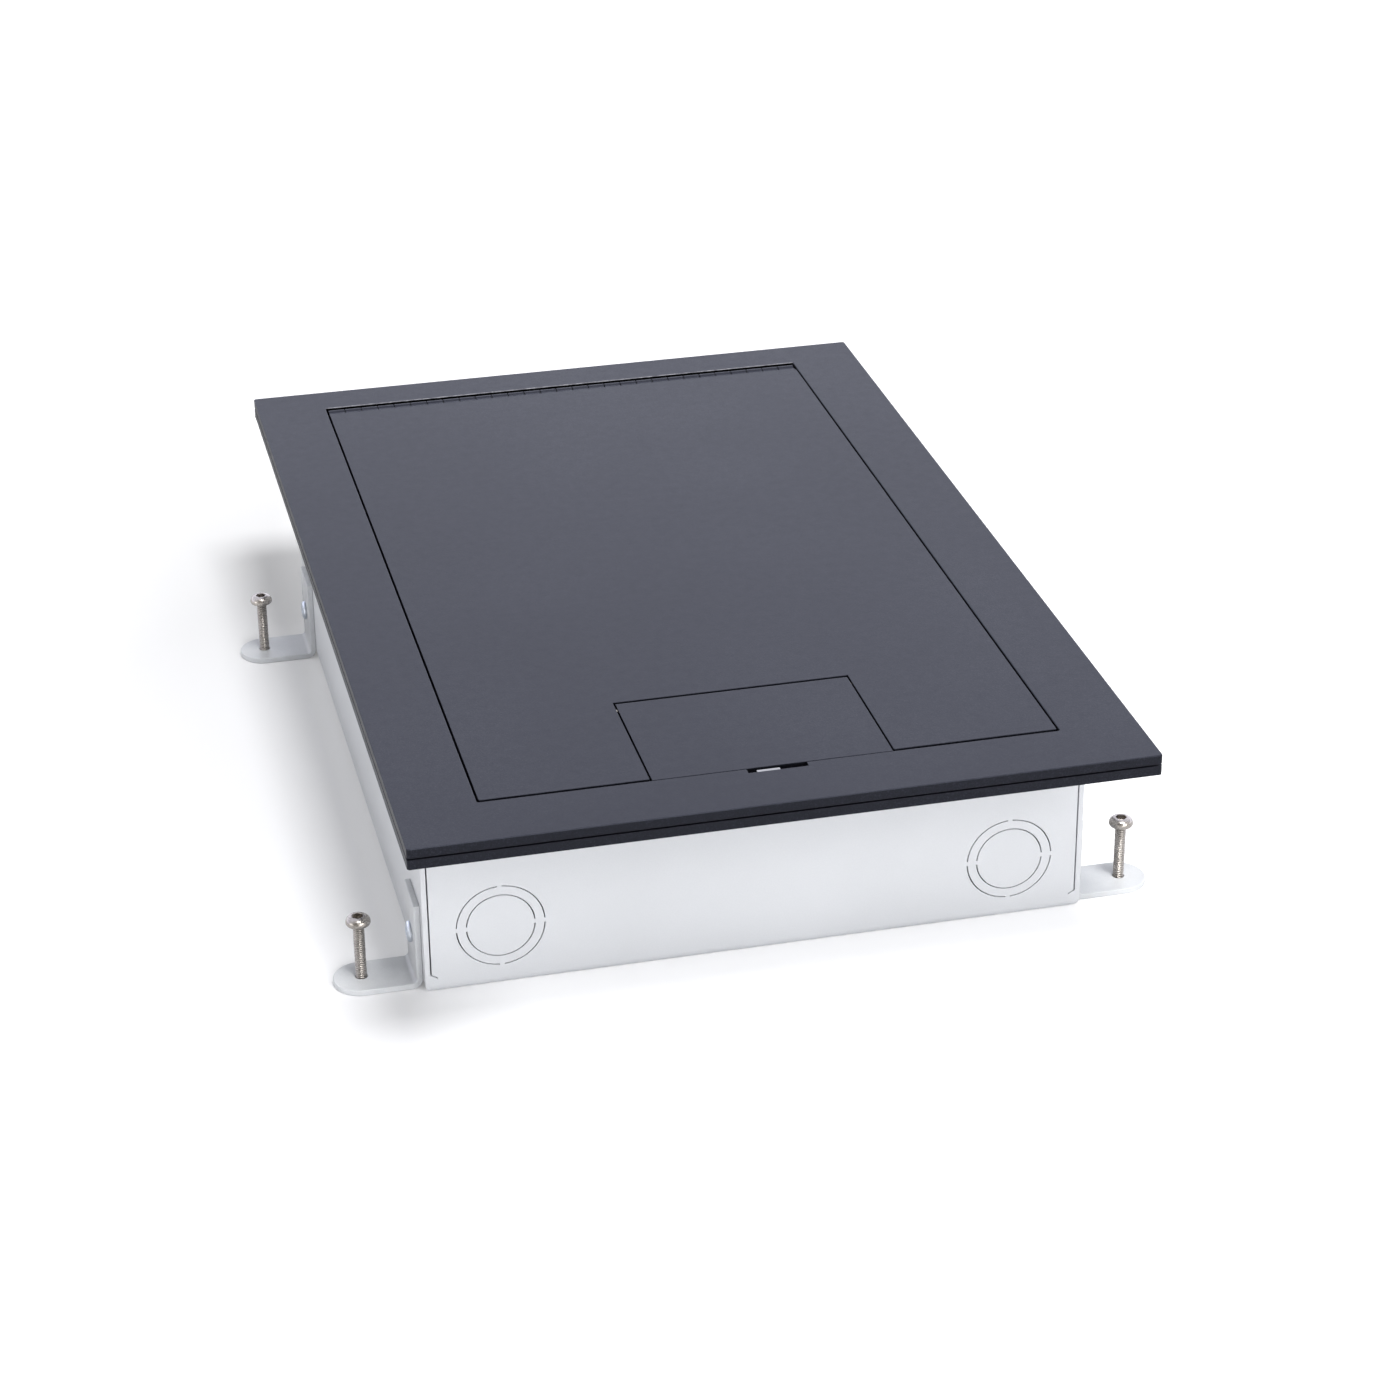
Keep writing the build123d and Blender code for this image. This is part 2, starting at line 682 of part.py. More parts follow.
# Cable flap, and the Z-shaped hook spot-welded under it that the latch finger passes into
with BuildPart() as cable_flap:
    with BuildSketch(Plane.XY.offset(lid_bottom)):
        with Locations((0, (flap_front + flap_back) / 2)):
            Rectangle(flap_width, flap_back - flap_front)
    extrude(amount=lid_thickness)
    tail_edges = cable_flap.edges().filter_by(Axis.X).group_by(Axis.Y)[-1]
    fillet(tail_edges, flap_edge_radius)
    with BuildSketch(along_x(-flap_width / 2), along_x(flap_width / 2 - flap_pin_in_flap)):
        with Locations((flap_axis_y, flap_axis_z)):
            Circle(flap_pin_radius)
    extrude(amount=flap_pin_in_flap, mode=Mode.SUBTRACT)
write_piece(cable_flap.part, "cable_flap")

with BuildPart() as flap_hook:
    with BuildSketch(along_x(hook_start)):
        with BuildLine():
            Polyline(
                (hook_web_front, lid_bottom),
                (hook_flange_back, lid_bottom),
                (hook_flange_back, lid_bottom - hook_flange),
                (hook_web_back, lid_bottom - hook_flange),
                (hook_web_back, hook_bottom),
                (finger_front, hook_bottom),
                (finger_front, hook_toe_top),
                (hook_web_front, hook_toe_top),
                close=True,
            )
        make_face()
    extrude(amount=hook_length)
write_piece(flap_hook.part, "flap_hook")

flap_pin_length = flap_pin_in_flap + flap_side_gap + flap_pin_in_lid - flap_pin_end_gap
flap_pin_starts = [flap_pin_in_flap - flap_width / 2 - flap_pin_length, flap_width / 2 - flap_pin_in_flap]

with BuildPart() as flap_pins:
    with BuildSketch(*[along_x(start) for start in flap_pin_starts]):
        with Locations((flap_axis_y, flap_axis_z)):
            Circle(flap_pin_radius)
    extrude(amount=flap_pin_length)
write_piece(flap_pins.part, "flap_pivot_pins")

# Four L-shaped feet, each with its levelling screw
foot_inner_x = box_width / 2
foot_screw_x = foot_inner_x + foot_screw_reach
foot_outer_bend = foot_bend_radius + foot_thickness
leveling_head_bottom = leveling_screw_lift + leveling_screw_length
corners = {
    "front_left": (-1, foot_front_y),
    "front_right": (1, foot_front_y),
    "back_left": (-1, foot_back_y),
    "back_right": (1, foot_back_y),
}


def make_foot(side, foot_y):
    with BuildPart() as foot:
        with BuildSketch(Plane.XZ.offset(-foot_y)) as profile:
            with BuildLine():
                Polyline(
                    (side * foot_inner_x, foot_leg_height),
                    (side * foot_inner_x, 0),
                    (side * foot_screw_x, 0),
                    (side * foot_screw_x, foot_thickness),
                    (side * (foot_inner_x + foot_thickness), foot_thickness),
                    (side * (foot_inner_x + foot_thickness), foot_leg_height),
                    close=True,
                )
            make_face()
            bend_corners = profile.vertices().filter_by_position(Axis.Y, 0, foot_thickness)
            fillet(bend_corners.sort_by(Axis.X)[0 if side > 0 else -1], foot_outer_bend)
            inside = profile.vertices().filter_by_position(Axis.Y, foot_thickness, foot_thickness)
            fillet(inside.sort_by(Axis.X)[0 if side > 0 else -1], foot_bend_radius)
        extrude(amount=foot_width / 2, both=True)
        with BuildSketch():
            with Locations((side * foot_screw_x, foot_y)):
                Circle(foot_width / 2)
        extrude(amount=foot_thickness)
        with BuildSketch():
            with Locations((side * foot_screw_x, foot_y)):
                Circle(leveling_screw_radius + running_clearance)
        extrude(amount=foot_thickness, mode=Mode.SUBTRACT)
        with BuildSketch(along_x(side * foot_inner_x)):
            with Locations((foot_y, fixing_screw_height)):
                Circle(screw_radius + thread_clearance)
        extrude(amount=side * foot_thickness, mode=Mode.SUBTRACT)
        return foot.part


def make_leveling_screw(side, foot_y):
    with BuildPart() as screw:
        with BuildSketch(Plane.XY.offset(leveling_screw_lift)):
            with Locations((side * foot_screw_x, foot_y)):
                Circle(leveling_screw_radius)
        extrude(amount=leveling_screw_length)
        with BuildSketch(Plane.XY.offset(leveling_head_bottom)):
            with Locations((side * foot_screw_x, foot_y)):
                Circle(pan_head_radius)
        extrude(amount=pan_head_height)
        fillet(screw.edges().group_by(Axis.Z)[-1], pan_head_crown)
        with BuildSketch(Plane.XY.offset(leveling_head_bottom + pan_head_height)):
            with Locations((side * foot_screw_x, foot_y)):
                RegularPolygon(socket_across_flats / 2, 6, major_radius=False)
        extrude(amount=-pan_head_height / 2, mode=Mode.SUBTRACT)
        return screw.part


for corner, (side, foot_y) in corners.items():
    write_piece(make_foot(side, foot_y), f"leveling_foot_{corner}")
    write_piece(make_leveling_screw(side, foot_y), f"leveling_screw_{corner}")

# Screws and nuts that hold the feet to the box walls
head_plane_x = foot_inner_x + foot_thickness
foot_screw_length = foot_thickness + wall + nut_height + thread_clearance

with BuildPart() as foot_screws:
    with BuildSketch(along_x(-head_plane_x - fixing_head_height), along_x(head_plane_x)):
        with Locations(*foot_screw_places):
            Circle(fixing_head_radius)
    extrude(amount=fixing_head_height)
    fillet(foot_screws.edges().group_by(Axis.X)[0], fixing_head_crown)
    fillet(foot_screws.edges().group_by(Axis.X)[-1], fixing_head_crown)
    with BuildSketch(along_x(-head_plane_x), along_x(head_plane_x - foot_screw_length)):
        with Locations(*foot_screw_places):
            Circle(screw_radius)
    extrude(amount=foot_screw_length)
write_piece(foot_screws.part, "foot_screws")

with BuildPart() as foot_nuts:
    with BuildSketch(along_x(-inner_width / 2), along_x(inner_width / 2 - nut_height)):
        with Locations(*foot_screw_places):
            RegularPolygon(nut_across_flats / 2, 6, major_radius=False)
            Circle(screw_radius + thread_clearance, mode=Mode.SUBTRACT)
    extrude(amount=nut_height)
write_piece(foot_nuts.part, "foot_nuts")

# Inner bracket: a folded channel across the box, with a window for each device plate
bracket_width = inner_width - 2 * inner_side_gap
bracket_top = wall + bracket_height
power_window = (power_x, device_height)
data_window = (data_x, device_height)

with BuildPart() as device_bracket:
    with BuildSketch(along_x(-bracket_width / 2)) as profile:
        with BuildLine():
            Polyline(
                (bracket_face_y, wall),
                (bracket_face_y + bracket_flange, wall),
                (bracket_face_y + bracket_flange, wall + sheet),
                (bracket_face_y + sheet, wall + sheet),
                (bracket_face_y + sheet, bracket_top - sheet),
                (bracket_face_y + bracket_flange, bracket_top - sheet),
                (bracket_face_y + bracket_flange, bracket_top),
                (bracket_face_y, bracket_top),
                close=True,
            )
        make_face()
        inner_face = bracket_face_y + sheet
        fillet(profile.vertices().filter_by_position(Axis.X, inner_face, inner_face), sheet_bend)
        outer_corners = profile.vertices().filter_by_position(Axis.X, bracket_face_y, bracket_face_y)
        fillet(outer_corners, sheet + sheet_bend)
    extrude(amount=bracket_width)
    with BuildSketch(facing_front(bracket_face_y + bracket_flange)):
        with Locations((-bracket_width / 2, wall), (bracket_width / 2, wall)):
            Rectangle(2 * bracket_corner_relief, 2 * bracket_corner_relief)
    extrude(amount=bracket_flange, mode=Mode.SUBTRACT)
    with BuildSketch(facing_front(bracket_face_y)):
        with Locations(power_window):
            Rectangle(power_window_width, window_height)
        with Locations(data_window):
            Rectangle(data_window_width, window_height)
        with Locations(power_window):
            with GridLocations(power_window_width + plate_margin, 0, 2, 1):
                Circle(small_screw_radius + thread_clearance)
        with Locations(data_window):
            with GridLocations(data_window_width + plate_margin, 0, 2, 1):
                Circle(small_screw_radius + thread_clearance)
    extrude(amount=-sheet, mode=Mode.SUBTRACT)
    with BuildSketch(Plane.XY.offset(wall)):
        with Locations((-stud_x, stud_y), (stud_x, stud_y)):
            Circle(stud_radius + 2 * thread_clearance)
    extrude(amount=sheet, mode=Mode.SUBTRACT)
    with BuildSketch(Plane.XY.offset(bracket_top - sheet)):
        with Locations((-cover_fixing_x, stud_y), (cover_fixing_x, stud_y)):
            Circle(small_screw_radius + thread_clearance)
    extrude(amount=sheet, mode=Mode.SUBTRACT)
write_piece(device_bracket.part, "device_bracket")

with BuildPart() as stud_nuts:
    with BuildSketch(Plane.XY.offset(wall + sheet)):
        with Locations((-stud_x, stud_y), (stud_x, stud_y), *divider_studs):
            RegularPolygon(nut_across_flats / 2, 6, major_radius=False)
            Circle(stud_radius + thread_clearance, mode=Mode.SUBTRACT)
    extrude(amount=nut_height)
write_piece(stud_nuts.part, "stud_nuts")

# Divider that keeps power wiring apart from data wiring behind the bracket
divider_front = bracket_face_y + bracket_flange + divider_gap
divider_nose = bracket_face_y + sheet + divider_gap
rear_angle_front = inner_depth / 2 - rear_angle_leg
rear_fixing_y = inner_depth / 2 - rear_angle_leg / 2
divider_back = rear_angle_front - divider_gap
divider_top = bracket_top - sheet - divider_gap

with BuildPart() as wiring_divider:
    with BuildSketch(along_x(divider_x - sheet / 2)):
        with BuildLine():
            Polyline(
                (divider_front, wall),
                (divider_back, wall),
                (divider_back, divider_top),
                (divider_nose, divider_top),
                (divider_nose, wall + sheet + divider_gap),
                (divider_front, wall + sheet + divider_gap),
                close=True,
            )
        make_face()
    extrude(amount=sheet)
    with BuildSketch(Plane.XY.offset(wall)):
        with Locations((divider_x + divider_foot / 2, (divider_front + divider_back) / 2)):
            Rectangle(divider_foot, divider_back - divider_front)
        with Locations(*divider_studs):
            Circle(stud_radius + 2 * thread_clearance, mode=Mode.SUBTRACT)
    extrude(amount=sheet)
write_piece(wiring_divider.part, "wiring_divider")

# Rear angle on the back wall and the lift-out cover of the wiring compartment
with BuildPart() as rear_angle:
    with BuildSketch(along_x(-bracket_width / 2)) as profile:
        with BuildLine():
            Polyline(
                (inner_depth / 2, bracket_top - rear_angle_leg),
                (inner_depth / 2, bracket_top),
                (rear_angle_front, bracket_top),
                (rear_angle_front, bracket_top - sheet),
                (inner_depth / 2 - sheet, bracket_top - sheet),
                (inner_depth / 2 - sheet, bracket_top - rear_angle_leg),
                close=True,
            )
        make_face()
        fillet(profile.vertices().group_by(Axis.Y)[-2].sort_by(Axis.X)[-1], sheet_bend)
        fillet(profile.vertices().group_by(Axis.Y)[-1].sort_by(Axis.X)[-1], sheet + sheet_bend)
    extrude(amount=bracket_width)
    with BuildSketch(Plane.XY.offset(bracket_top - sheet)):
        with Locations((-cover_fixing_x, rear_fixing_y), (cover_fixing_x, rear_fixing_y)):
            Circle(small_screw_radius + thread_clearance)
    extrude(amount=sheet, mode=Mode.SUBTRACT)
write_piece(rear_angle.part, "rear_angle")

compartment_cover_front = bracket_face_y + sheet + sheet_bend
compartment_cover_back = inner_depth / 2 - sheet - sheet_bend
cover_fixings = [
    (side * cover_fixing_x, place)
    for side in (-1, 1)
    for place in (stud_y, rear_fixing_y)
]

with BuildPart() as compartment_cover:
    with BuildSketch(Plane.XY.offset(bracket_top)):
        with Locations((0, (compartment_cover_front + compartment_cover_back) / 2)):
            Rectangle(bracket_width, compartment_cover_back - compartment_cover_front)
        with Locations(*cover_fixings):
            Circle(small_screw_radius + thread_clearance, mode=Mode.SUBTRACT)
    extrude(amount=sheet)
write_piece(compartment_cover.part, "compartment_cover")

with BuildPart() as compartment_screws:
    with BuildSketch(Plane.XY.offset(bracket_top + sheet)):
        with Locations(*cover_fixings):
            Circle(small_head_radius)
    extrude(amount=small_head_height)
    with BuildSketch(Plane.XY.offset(bracket_top + sheet - small_screw_length)):
        with Locations(*cover_fixings):
            Circle(small_screw_radius)
    extrude(amount=small_screw_length)
write_piece(compartment_screws.part, "compartment_screws")

# Grounding screw on its raised pad in the box floor
ground_pad_top = wall + ground_pad_rise
with BuildPart() as ground_screw:
    with BuildSketch(Plane.XY.offset(ground_pad_top)):
        with Locations((ground_pad_x, ground_pad_y)):
            RegularPolygon(ground_head_flats / 2, 6, major_radius=False)
    extrude(amount=ground_head_height)
    with BuildSketch(Plane.XY.offset(ground_pad_top - ground_screw_length)):
        with Locations((ground_pad_x, ground_pad_y)):
            Circle(screw_radius)
    extrude(amount=ground_screw_length)
write_piece(ground_screw.part, "ground_screw")

# Device plates on the front of the bracket: duplex openings at the left, data jacks at the right
plate_front = bracket_face_y - sheet
power_plate_width = power_window_width + 2 * plate_margin
data_plate_width = data_window_width + 2 * plate_margin
jack_opening_width = jack_width + 2 * jack_clearance
jack_opening_height = jack_height + 2 * jack_clearance
jack_places = [
    (data_x + (index - (jack_count - 1) / 2) * jack_pitch, device_height)
    for index in range(jack_count)
]
outlet_places = [
    (power_x - outlet_spacing / 2, device_height),
    (power_x + outlet_spacing / 2, device_height),
]


def outlet_outline(grow):
    with BuildSketch(facing_front(0)) as outline:
        Circle(outlet_face_radius + grow)
        Rectangle(outlet_face_width + 2 * grow, 2 * outlet_face_radius + 2 * grow, mode=Mode.INTERSECT)
    return outline.sketch_local


with BuildPart() as power_plate:
    with BuildSketch(facing_front(bracket_face_y)):
        with Locations(power_window):
            Rectangle(power_plate_width, plate_height)
            with GridLocations(power_window_width + plate_margin, 0, 2, 1):
                Circle(small_screw_radius + thread_clearance, mode=Mode.SUBTRACT)
            with GridLocations(strap_screw_spacing, 0, 2, 1):
                Circle(small_screw_radius + thread_clearance, mode=Mode.SUBTRACT)
        with Locations(*outlet_places):
            add(outlet_outline(outlet_clearance), mode=Mode.SUBTRACT)
    extrude(amount=sheet)
write_piece(power_plate.part, "power_plate")

with BuildPart() as data_plate:
    with BuildSketch(facing_front(bracket_face_y)):
        with Locations(data_window):
            Rectangle(data_plate_width, plate_height)
            with GridLocations(data_window_width + plate_margin, 0, 2, 1):
                Circle(small_screw_radius + thread_clearance, mode=Mode.SUBTRACT)
        with Locations(*jack_places):
            Rectangle(jack_opening_width, jack_opening_height, mode=Mode.SUBTRACT)
    extrude(amount=sheet)
write_piece(data_plate.part, "data_plate")

plate_screw_places = [
    (centre + side * (width + plate_margin) / 2, device_height)
    for centre, width in ((power_x, power_window_width), (data_x, data_window_width))
    for side in (-1, 1)
]
with BuildPart() as plate_screws:
    with BuildSketch(facing_front(plate_front)):
        with Locations(*plate_screw_places):
            Circle(small_head_radius)
    extrude(amount=small_head_height)
    with BuildSketch(facing_front(plate_front)):
        with Locations(*plate_screw_places):
            Circle(small_screw_radius)
    extrude(amount=-small_screw_length)
write_piece(plate_screws.part, "plate_screws")

# Duplex receptacle: moulded front with blade slots, base with the bus bars, wrap-round strap
strap_back = bracket_face_y + strap_thickness
front_block_start = strap_back + strap_clearance
base_start = bracket_face_y + receptacle_front_depth
base_end = base_start + receptacle_base_depth
hot_z = device_height + blade_slot_spacing / 2
neutral_z = device_height - blade_slot_spacing / 2
bus_start = base_start - bus_in_front
bus_end = bus_start + bus_depth
bus_height = bus_inside + 2 * bus_sheet
bridge_front = base_end + strap_clearance
leg_inside = receptacle_width / 2 + strap_clearance
leg_outside = leg_inside + strap_thickness
bridge_back = bridge_front + strap_thickness
terminal_places = [(x_place, base_start + receptacle_base_depth / 2) for x_place, _ in outlet_places]
blade_places = [x_place - blade_from_centre for x_place, _ in outlet_places]
ground_places = [(x_place + ground_from_blades, device_height) for x_place in blade_places]

with BuildPart() as receptacle_front:
    with BuildSketch(facing_front(base_start)):
        with Locations(power_window):
            Rectangle(receptacle_width, receptacle_height)
    extrude(amount=base_start - front_block_start)
    with BuildSketch(facing_front(front_block_start)):
        with Locations(*outlet_places):
            add(outlet_outline(0))
    extrude(amount=front_block_start - plate_front + outlet_face_proud)
    with BuildSketch(facing_front(plate_front - outlet_face_proud)):
        for x_place in blade_places:
            with Locations((x_place, hot_z)):
                Rectangle(hot_slot_length, blade_slot_width)
            with Locations((x_place, neutral_z)):
                Rectangle(neutral_slot_length, blade_slot_width)
        with Locations(*ground_places):
            Circle(ground_hole_radius)
    extrude(amount=plate_front - outlet_face_proud - base_start, mode=Mode.SUBTRACT)
    with BuildSketch(facing_front(bus_start - bus_clearance)):
        with Locations((power_x, hot_z), (power_x, neutral_z)):
            Rectangle(bus_length + 2 * bus_clearance, bus_height + 2 * bus_clearance)
    extrude(amount=bus_start - bus_clearance - base_start, mode=Mode.SUBTRACT)
write_piece(receptacle_front.part, "receptacle_front")

with BuildPart() as receptacle_base:
    with BuildSketch(facing_front(base_end)):
        with Locations(power_window):
            Rectangle(receptacle_width, receptacle_height)
    extrude(amount=receptacle_base_depth)
    fillet(receptacle_base.edges().filter_by(Axis.Y), sheet)
    with BuildSketch(facing_front(base_start)):
        with Locations((power_x, hot_z), (power_x, neutral_z)):
            Rectangle(bus_length + 2 * bus_clearance, bus_height + 2 * bus_clearance)
    extrude(amount=base_start - bus_end - bus_clearance, mode=Mode.SUBTRACT)
    with BuildSketch(facing_front(base_start)):
        with Locations(*ground_places):
            Circle(ground_hole_radius)
    extrude(amount=-receptacle_base_depth, mode=Mode.SUBTRACT)
    with BuildSketch(Plane.XY.offset(device_height - receptacle_height / 2)):
        with Locations(*terminal_places):
            Circle(small_screw_radius + thread_clearance)
    extrude(amount=receptacle_height, mode=Mode.SUBTRACT)
    with BuildSketch(facing_front(base_end)):
        with Locations(power_window):
            Circle(small_screw_radius + thread_clearance)
    extrude(amount=ground_terminal_depth + clip_wall, mode=Mode.SUBTRACT)
write_piece(receptacle_base.part, "receptacle_base")

with BuildPart() as receptacle_strap:
    with BuildSketch(Plane(origin=(power_x, 0, device_height - strap_height / 2))):
        with BuildLine():
            Polyline(
                (0, bridge_back),
                (leg_outside, bridge_back),
                (leg_outside, strap_back),
                (strap_length / 2, strap_back),
                (strap_length / 2, bracket_face_y),
                (leg_inside, bracket_face_y),
                (leg_inside, bridge_front),
                (0, bridge_front),
                close=True,
            )
        make_face()
        mirror(about=Plane.YZ)
    extrude(amount=strap_height)
    with BuildSketch(facing_front(bracket_face_y)):
        with Locations(power_window):
            with GridLocations(strap_screw_spacing, 0, 2, 1):
                Circle(small_screw_radius + thread_clearance)
    extrude(amount=-strap_thickness, mode=Mode.SUBTRACT)
    with BuildSketch(facing_front(bridge_back)):
        with Locations(power_window):
            Circle(small_screw_radius + thread_clearance)
    extrude(amount=strap_thickness, mode=Mode.SUBTRACT)
write_piece(receptacle_strap.part, "receptacle_strap")

with BuildPart() as strap_screws:
    with BuildSketch(facing_front(plate_front)):
        with Locations(power_window):
            with GridLocations(strap_screw_spacing, 0, 2, 1):
                Circle(small_head_radius)
    extrude(amount=small_head_height)
    with BuildSketch(facing_front(plate_front)):
        with Locations(power_window):
            with GridLocations(strap_screw_spacing, 0, 2, 1):
                Circle(small_screw_radius)
    extrude(amount=-small_screw_length)
write_piece(strap_screws.part, "strap_screws")

# Brass bus bars behind the blade slots and the round clips behind the ground holes
with BuildPart() as receptacle_contacts:
    with BuildSketch(along_x(power_x - bus_length / 2)):
        for height in (hot_z, neutral_z):
            with Locations(((bus_start + bus_end) / 2, height)):
                Rectangle(bus_depth, bus_height)
            with Locations(((bus_start + bus_end - bus_sheet) / 2, height)):
                Rectangle(bus_depth - bus_sheet, bus_inside, mode=Mode.SUBTRACT)
    extrude(amount=bus_length)
    with BuildSketch(facing_front(bridge_front)):
        with Locations(*ground_places):
            Circle(ground_hole_radius - clip_clearance)
            Circle(ground_hole_radius - clip_clearance - clip_wall, mode=Mode.SUBTRACT)
    extrude(amount=bridge_front - base_start + ground_clip_reach)
write_piece(receptacle_contacts.part, "receptacle_contacts")

receptacle_top = device_height + receptacle_height / 2
receptacle_bottom = device_height - receptacle_height / 2
bus_top = hot_z + bus_height / 2
bus_bottom = neutral_z - bus_height / 2
terminal_planes = [Plane.XY.offset(receptacle_top), Plane.XY.offset(receptacle_bottom - terminal_height)]

with BuildPart() as terminal_screws:
    with BuildSketch(*terminal_planes):
        with Locations(*terminal_places):
            Circle(terminal_radius)
    extrude(amount=terminal_height)
    with BuildSketch(Plane.XY.offset(bus_top)):
        with Locations(*terminal_places):
            Circle(small_screw_radius)
    extrude(amount=receptacle_top - bus_top)
    with BuildSketch(Plane.XY.offset(receptacle_bottom)):
        with Locations(*terminal_places):
            Circle(small_screw_radius)
    extrude(amount=bus_bottom - receptacle_bottom)
write_piece(terminal_screws.part, "terminal_screws")

with BuildPart() as ground_terminal:
    with BuildSketch(facing_back(bridge_back)):
        with Locations((-power_x, device_height)):
            RegularPolygon(terminal_radius, 6)
    extrude(amount=terminal_height)
    with BuildSketch(facing_back(bridge_back)):
        with Locations((-power_x, device_height)):
            Circle(small_screw_radius)
    extrude(amount=base_end - ground_terminal_depth - bridge_back)
write_piece(ground_terminal.part, "ground_terminal")

# Data jacks: one moulded body each, with its port, and the spring wires inside
port_top = device_height + port_height / 2
jack_front = plate_front - snap_depth
port_back = jack_front + port_depth
latch_port_z = device_height - (port_height + latch_port_height) / 2
latch_port_places = [(x_place, latch_port_z) for x_place, _ in jack_places]
wire_starts = [
    along_x(x_place + (index - (wire_count - 1) / 2) * wire_pitch - wire_size / 2)
    for x_place, _ in jack_places
    for index in range(wire_count)
]

with BuildPart() as data_jacks:
    with BuildSketch(facing_front(plate_front + jack_depth)):
        with Locations(*jack_places):
            Rectangle(jack_width, jack_height)
    extrude(amount=jack_depth)
    with BuildSketch(facing_front(bracket_face_y + flange_depth)):
        with Locations(*jack_places):
            Rectangle(jack_width + 2 * flange_reach, jack_height + 2 * flange_reach)
    extrude(amount=flange_depth)
    with BuildSketch(facing_front(plate_front)):
        with Locations(*jack_places):
            Rectangle(jack_width, jack_height + 2 * snap_reach)
    extrude(amount=snap_depth)
    with BuildSketch(facing_front(jack_front)):
        with Locations(*jack_places):
            Rectangle(port_width, port_height)
        with Locations(*latch_port_places):
            Rectangle(latch_port_width, latch_port_height)
    extrude(amount=jack_front - port_back, mode=Mode.SUBTRACT)
write_piece(data_jacks.part, "data_jacks")

with BuildPart() as jack_wires:
    with BuildSketch(*wire_starts):
        with BuildLine():
            Polyline(
                (port_back, port_top - wire_size),
                (port_back, port_top - 2 * wire_size),
                (port_back - wire_length, port_top - wire_size),
                (port_back - wire_length, port_top - wire_rise),
                (port_back - wire_length - wire_size, port_top - wire_rise),
                (port_back - wire_length - wire_size, port_top - wire_size / 2),
                close=True,
            )
        make_face()
    extrude(amount=wire_size)
write_piece(jack_wires.part, "jack_wires")
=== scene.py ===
import bpy
import bmesh
import json
import math
from mathutils import Matrix, Vector

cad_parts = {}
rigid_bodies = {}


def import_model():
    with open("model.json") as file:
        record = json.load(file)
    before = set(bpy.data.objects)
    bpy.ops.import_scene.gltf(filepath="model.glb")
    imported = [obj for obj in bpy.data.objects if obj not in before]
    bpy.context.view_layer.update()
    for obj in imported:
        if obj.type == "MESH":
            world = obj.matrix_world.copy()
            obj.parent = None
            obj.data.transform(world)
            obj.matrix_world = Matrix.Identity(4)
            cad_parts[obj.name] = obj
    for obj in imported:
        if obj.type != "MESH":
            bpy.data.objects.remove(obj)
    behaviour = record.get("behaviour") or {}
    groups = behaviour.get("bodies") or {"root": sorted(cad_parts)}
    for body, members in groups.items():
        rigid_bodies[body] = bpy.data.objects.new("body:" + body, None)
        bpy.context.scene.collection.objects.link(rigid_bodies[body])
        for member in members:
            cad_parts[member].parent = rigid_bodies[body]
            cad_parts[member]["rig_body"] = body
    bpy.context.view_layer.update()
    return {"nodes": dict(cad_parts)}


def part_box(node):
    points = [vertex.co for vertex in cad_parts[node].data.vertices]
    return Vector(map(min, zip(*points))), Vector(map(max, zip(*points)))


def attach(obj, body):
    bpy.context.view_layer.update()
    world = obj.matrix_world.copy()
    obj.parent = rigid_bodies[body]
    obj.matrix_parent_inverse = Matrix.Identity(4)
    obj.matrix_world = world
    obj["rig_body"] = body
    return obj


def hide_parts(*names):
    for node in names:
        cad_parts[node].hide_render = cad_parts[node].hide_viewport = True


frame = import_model()
nodes = frame["nodes"]
print("floor box: CAD model loaded,", len(nodes), "nodes")

corners = ("front_left", "front_right", "back_left", "back_right")
sharpAngle = math.radians(32)        # turned and rolled pieces shade smooth below this
mergeDistance = 1e-6
cutDistance = 1e-7
sortDigits = 5                       # loose parts are sorted by place, to a hundredth of a millimetre


def mm(value):
    return value / 1000.0


def addObject(name, data):
    piece = bpy.data.objects.new(name, data)
    bpy.context.scene.collection.objects.link(piece)
    return piece


def meshFrom(bm, name):
    mesh = bpy.data.meshes.new(name)
    bm.to_mesh(mesh)
    bm.free()
    return mesh


def smoothMeshFrom(bm, name):
    mesh = meshFrom(bm, name)
    mesh.shade_smooth()
    mesh.set_sharp_from_angle(angle=sharpAngle)
    return mesh


def mergedCopy(node):         # a CAD mesh is loose triangles, so a copy is merged before it is worked on
    bm = bmesh.new()
    bm.from_mesh(nodes[node].data)
    bmesh.ops.remove_doubles(bm, verts=bm.verts, dist=mergeDistance)
    return bm


def startMaterial(name):
    material = bpy.data.materials.new(name)
    material.use_nodes = True
    tree = material.node_tree
    shader = tree.nodes["Principled BSDF"]
    place = tree.nodes.new("ShaderNodeTexCoord")
    return material, tree, shader, place.outputs["Object"]


# detail and roughness of the noises
softNoise = (2.0, 0.5)
cloudNoise = (3.0, 0.55)
fineNoise = (3.0, 0.6)
streakNoise = (4.0, 0.6)
# the next one breaks up the painted highlight on the trim's arris
highlightBreakupNoise = (4.0, 0.65)
noiseSpan = (0.3, 0.7)        # where most of a noise's values lie
noiseMiddle = 0.5


def addNoise(tree, source, scale, character, stretch=None):
    noise = tree.nodes.new("ShaderNodeTexNoise")
    detail, roughness = character
    noise.inputs["Scale"].default_value = scale
    noise.inputs["Detail"].default_value = detail
    noise.inputs["Roughness"].default_value = roughness
    if stretch:
        mapping = tree.nodes.new("ShaderNodeMapping")
        mapping.inputs["Scale"].default_value = stretch
        tree.links.new(source, mapping.inputs["Vector"])
        source = mapping.outputs["Vector"]
    tree.links.new(source, noise.inputs["Vector"])
    return noise.outputs["Fac"]


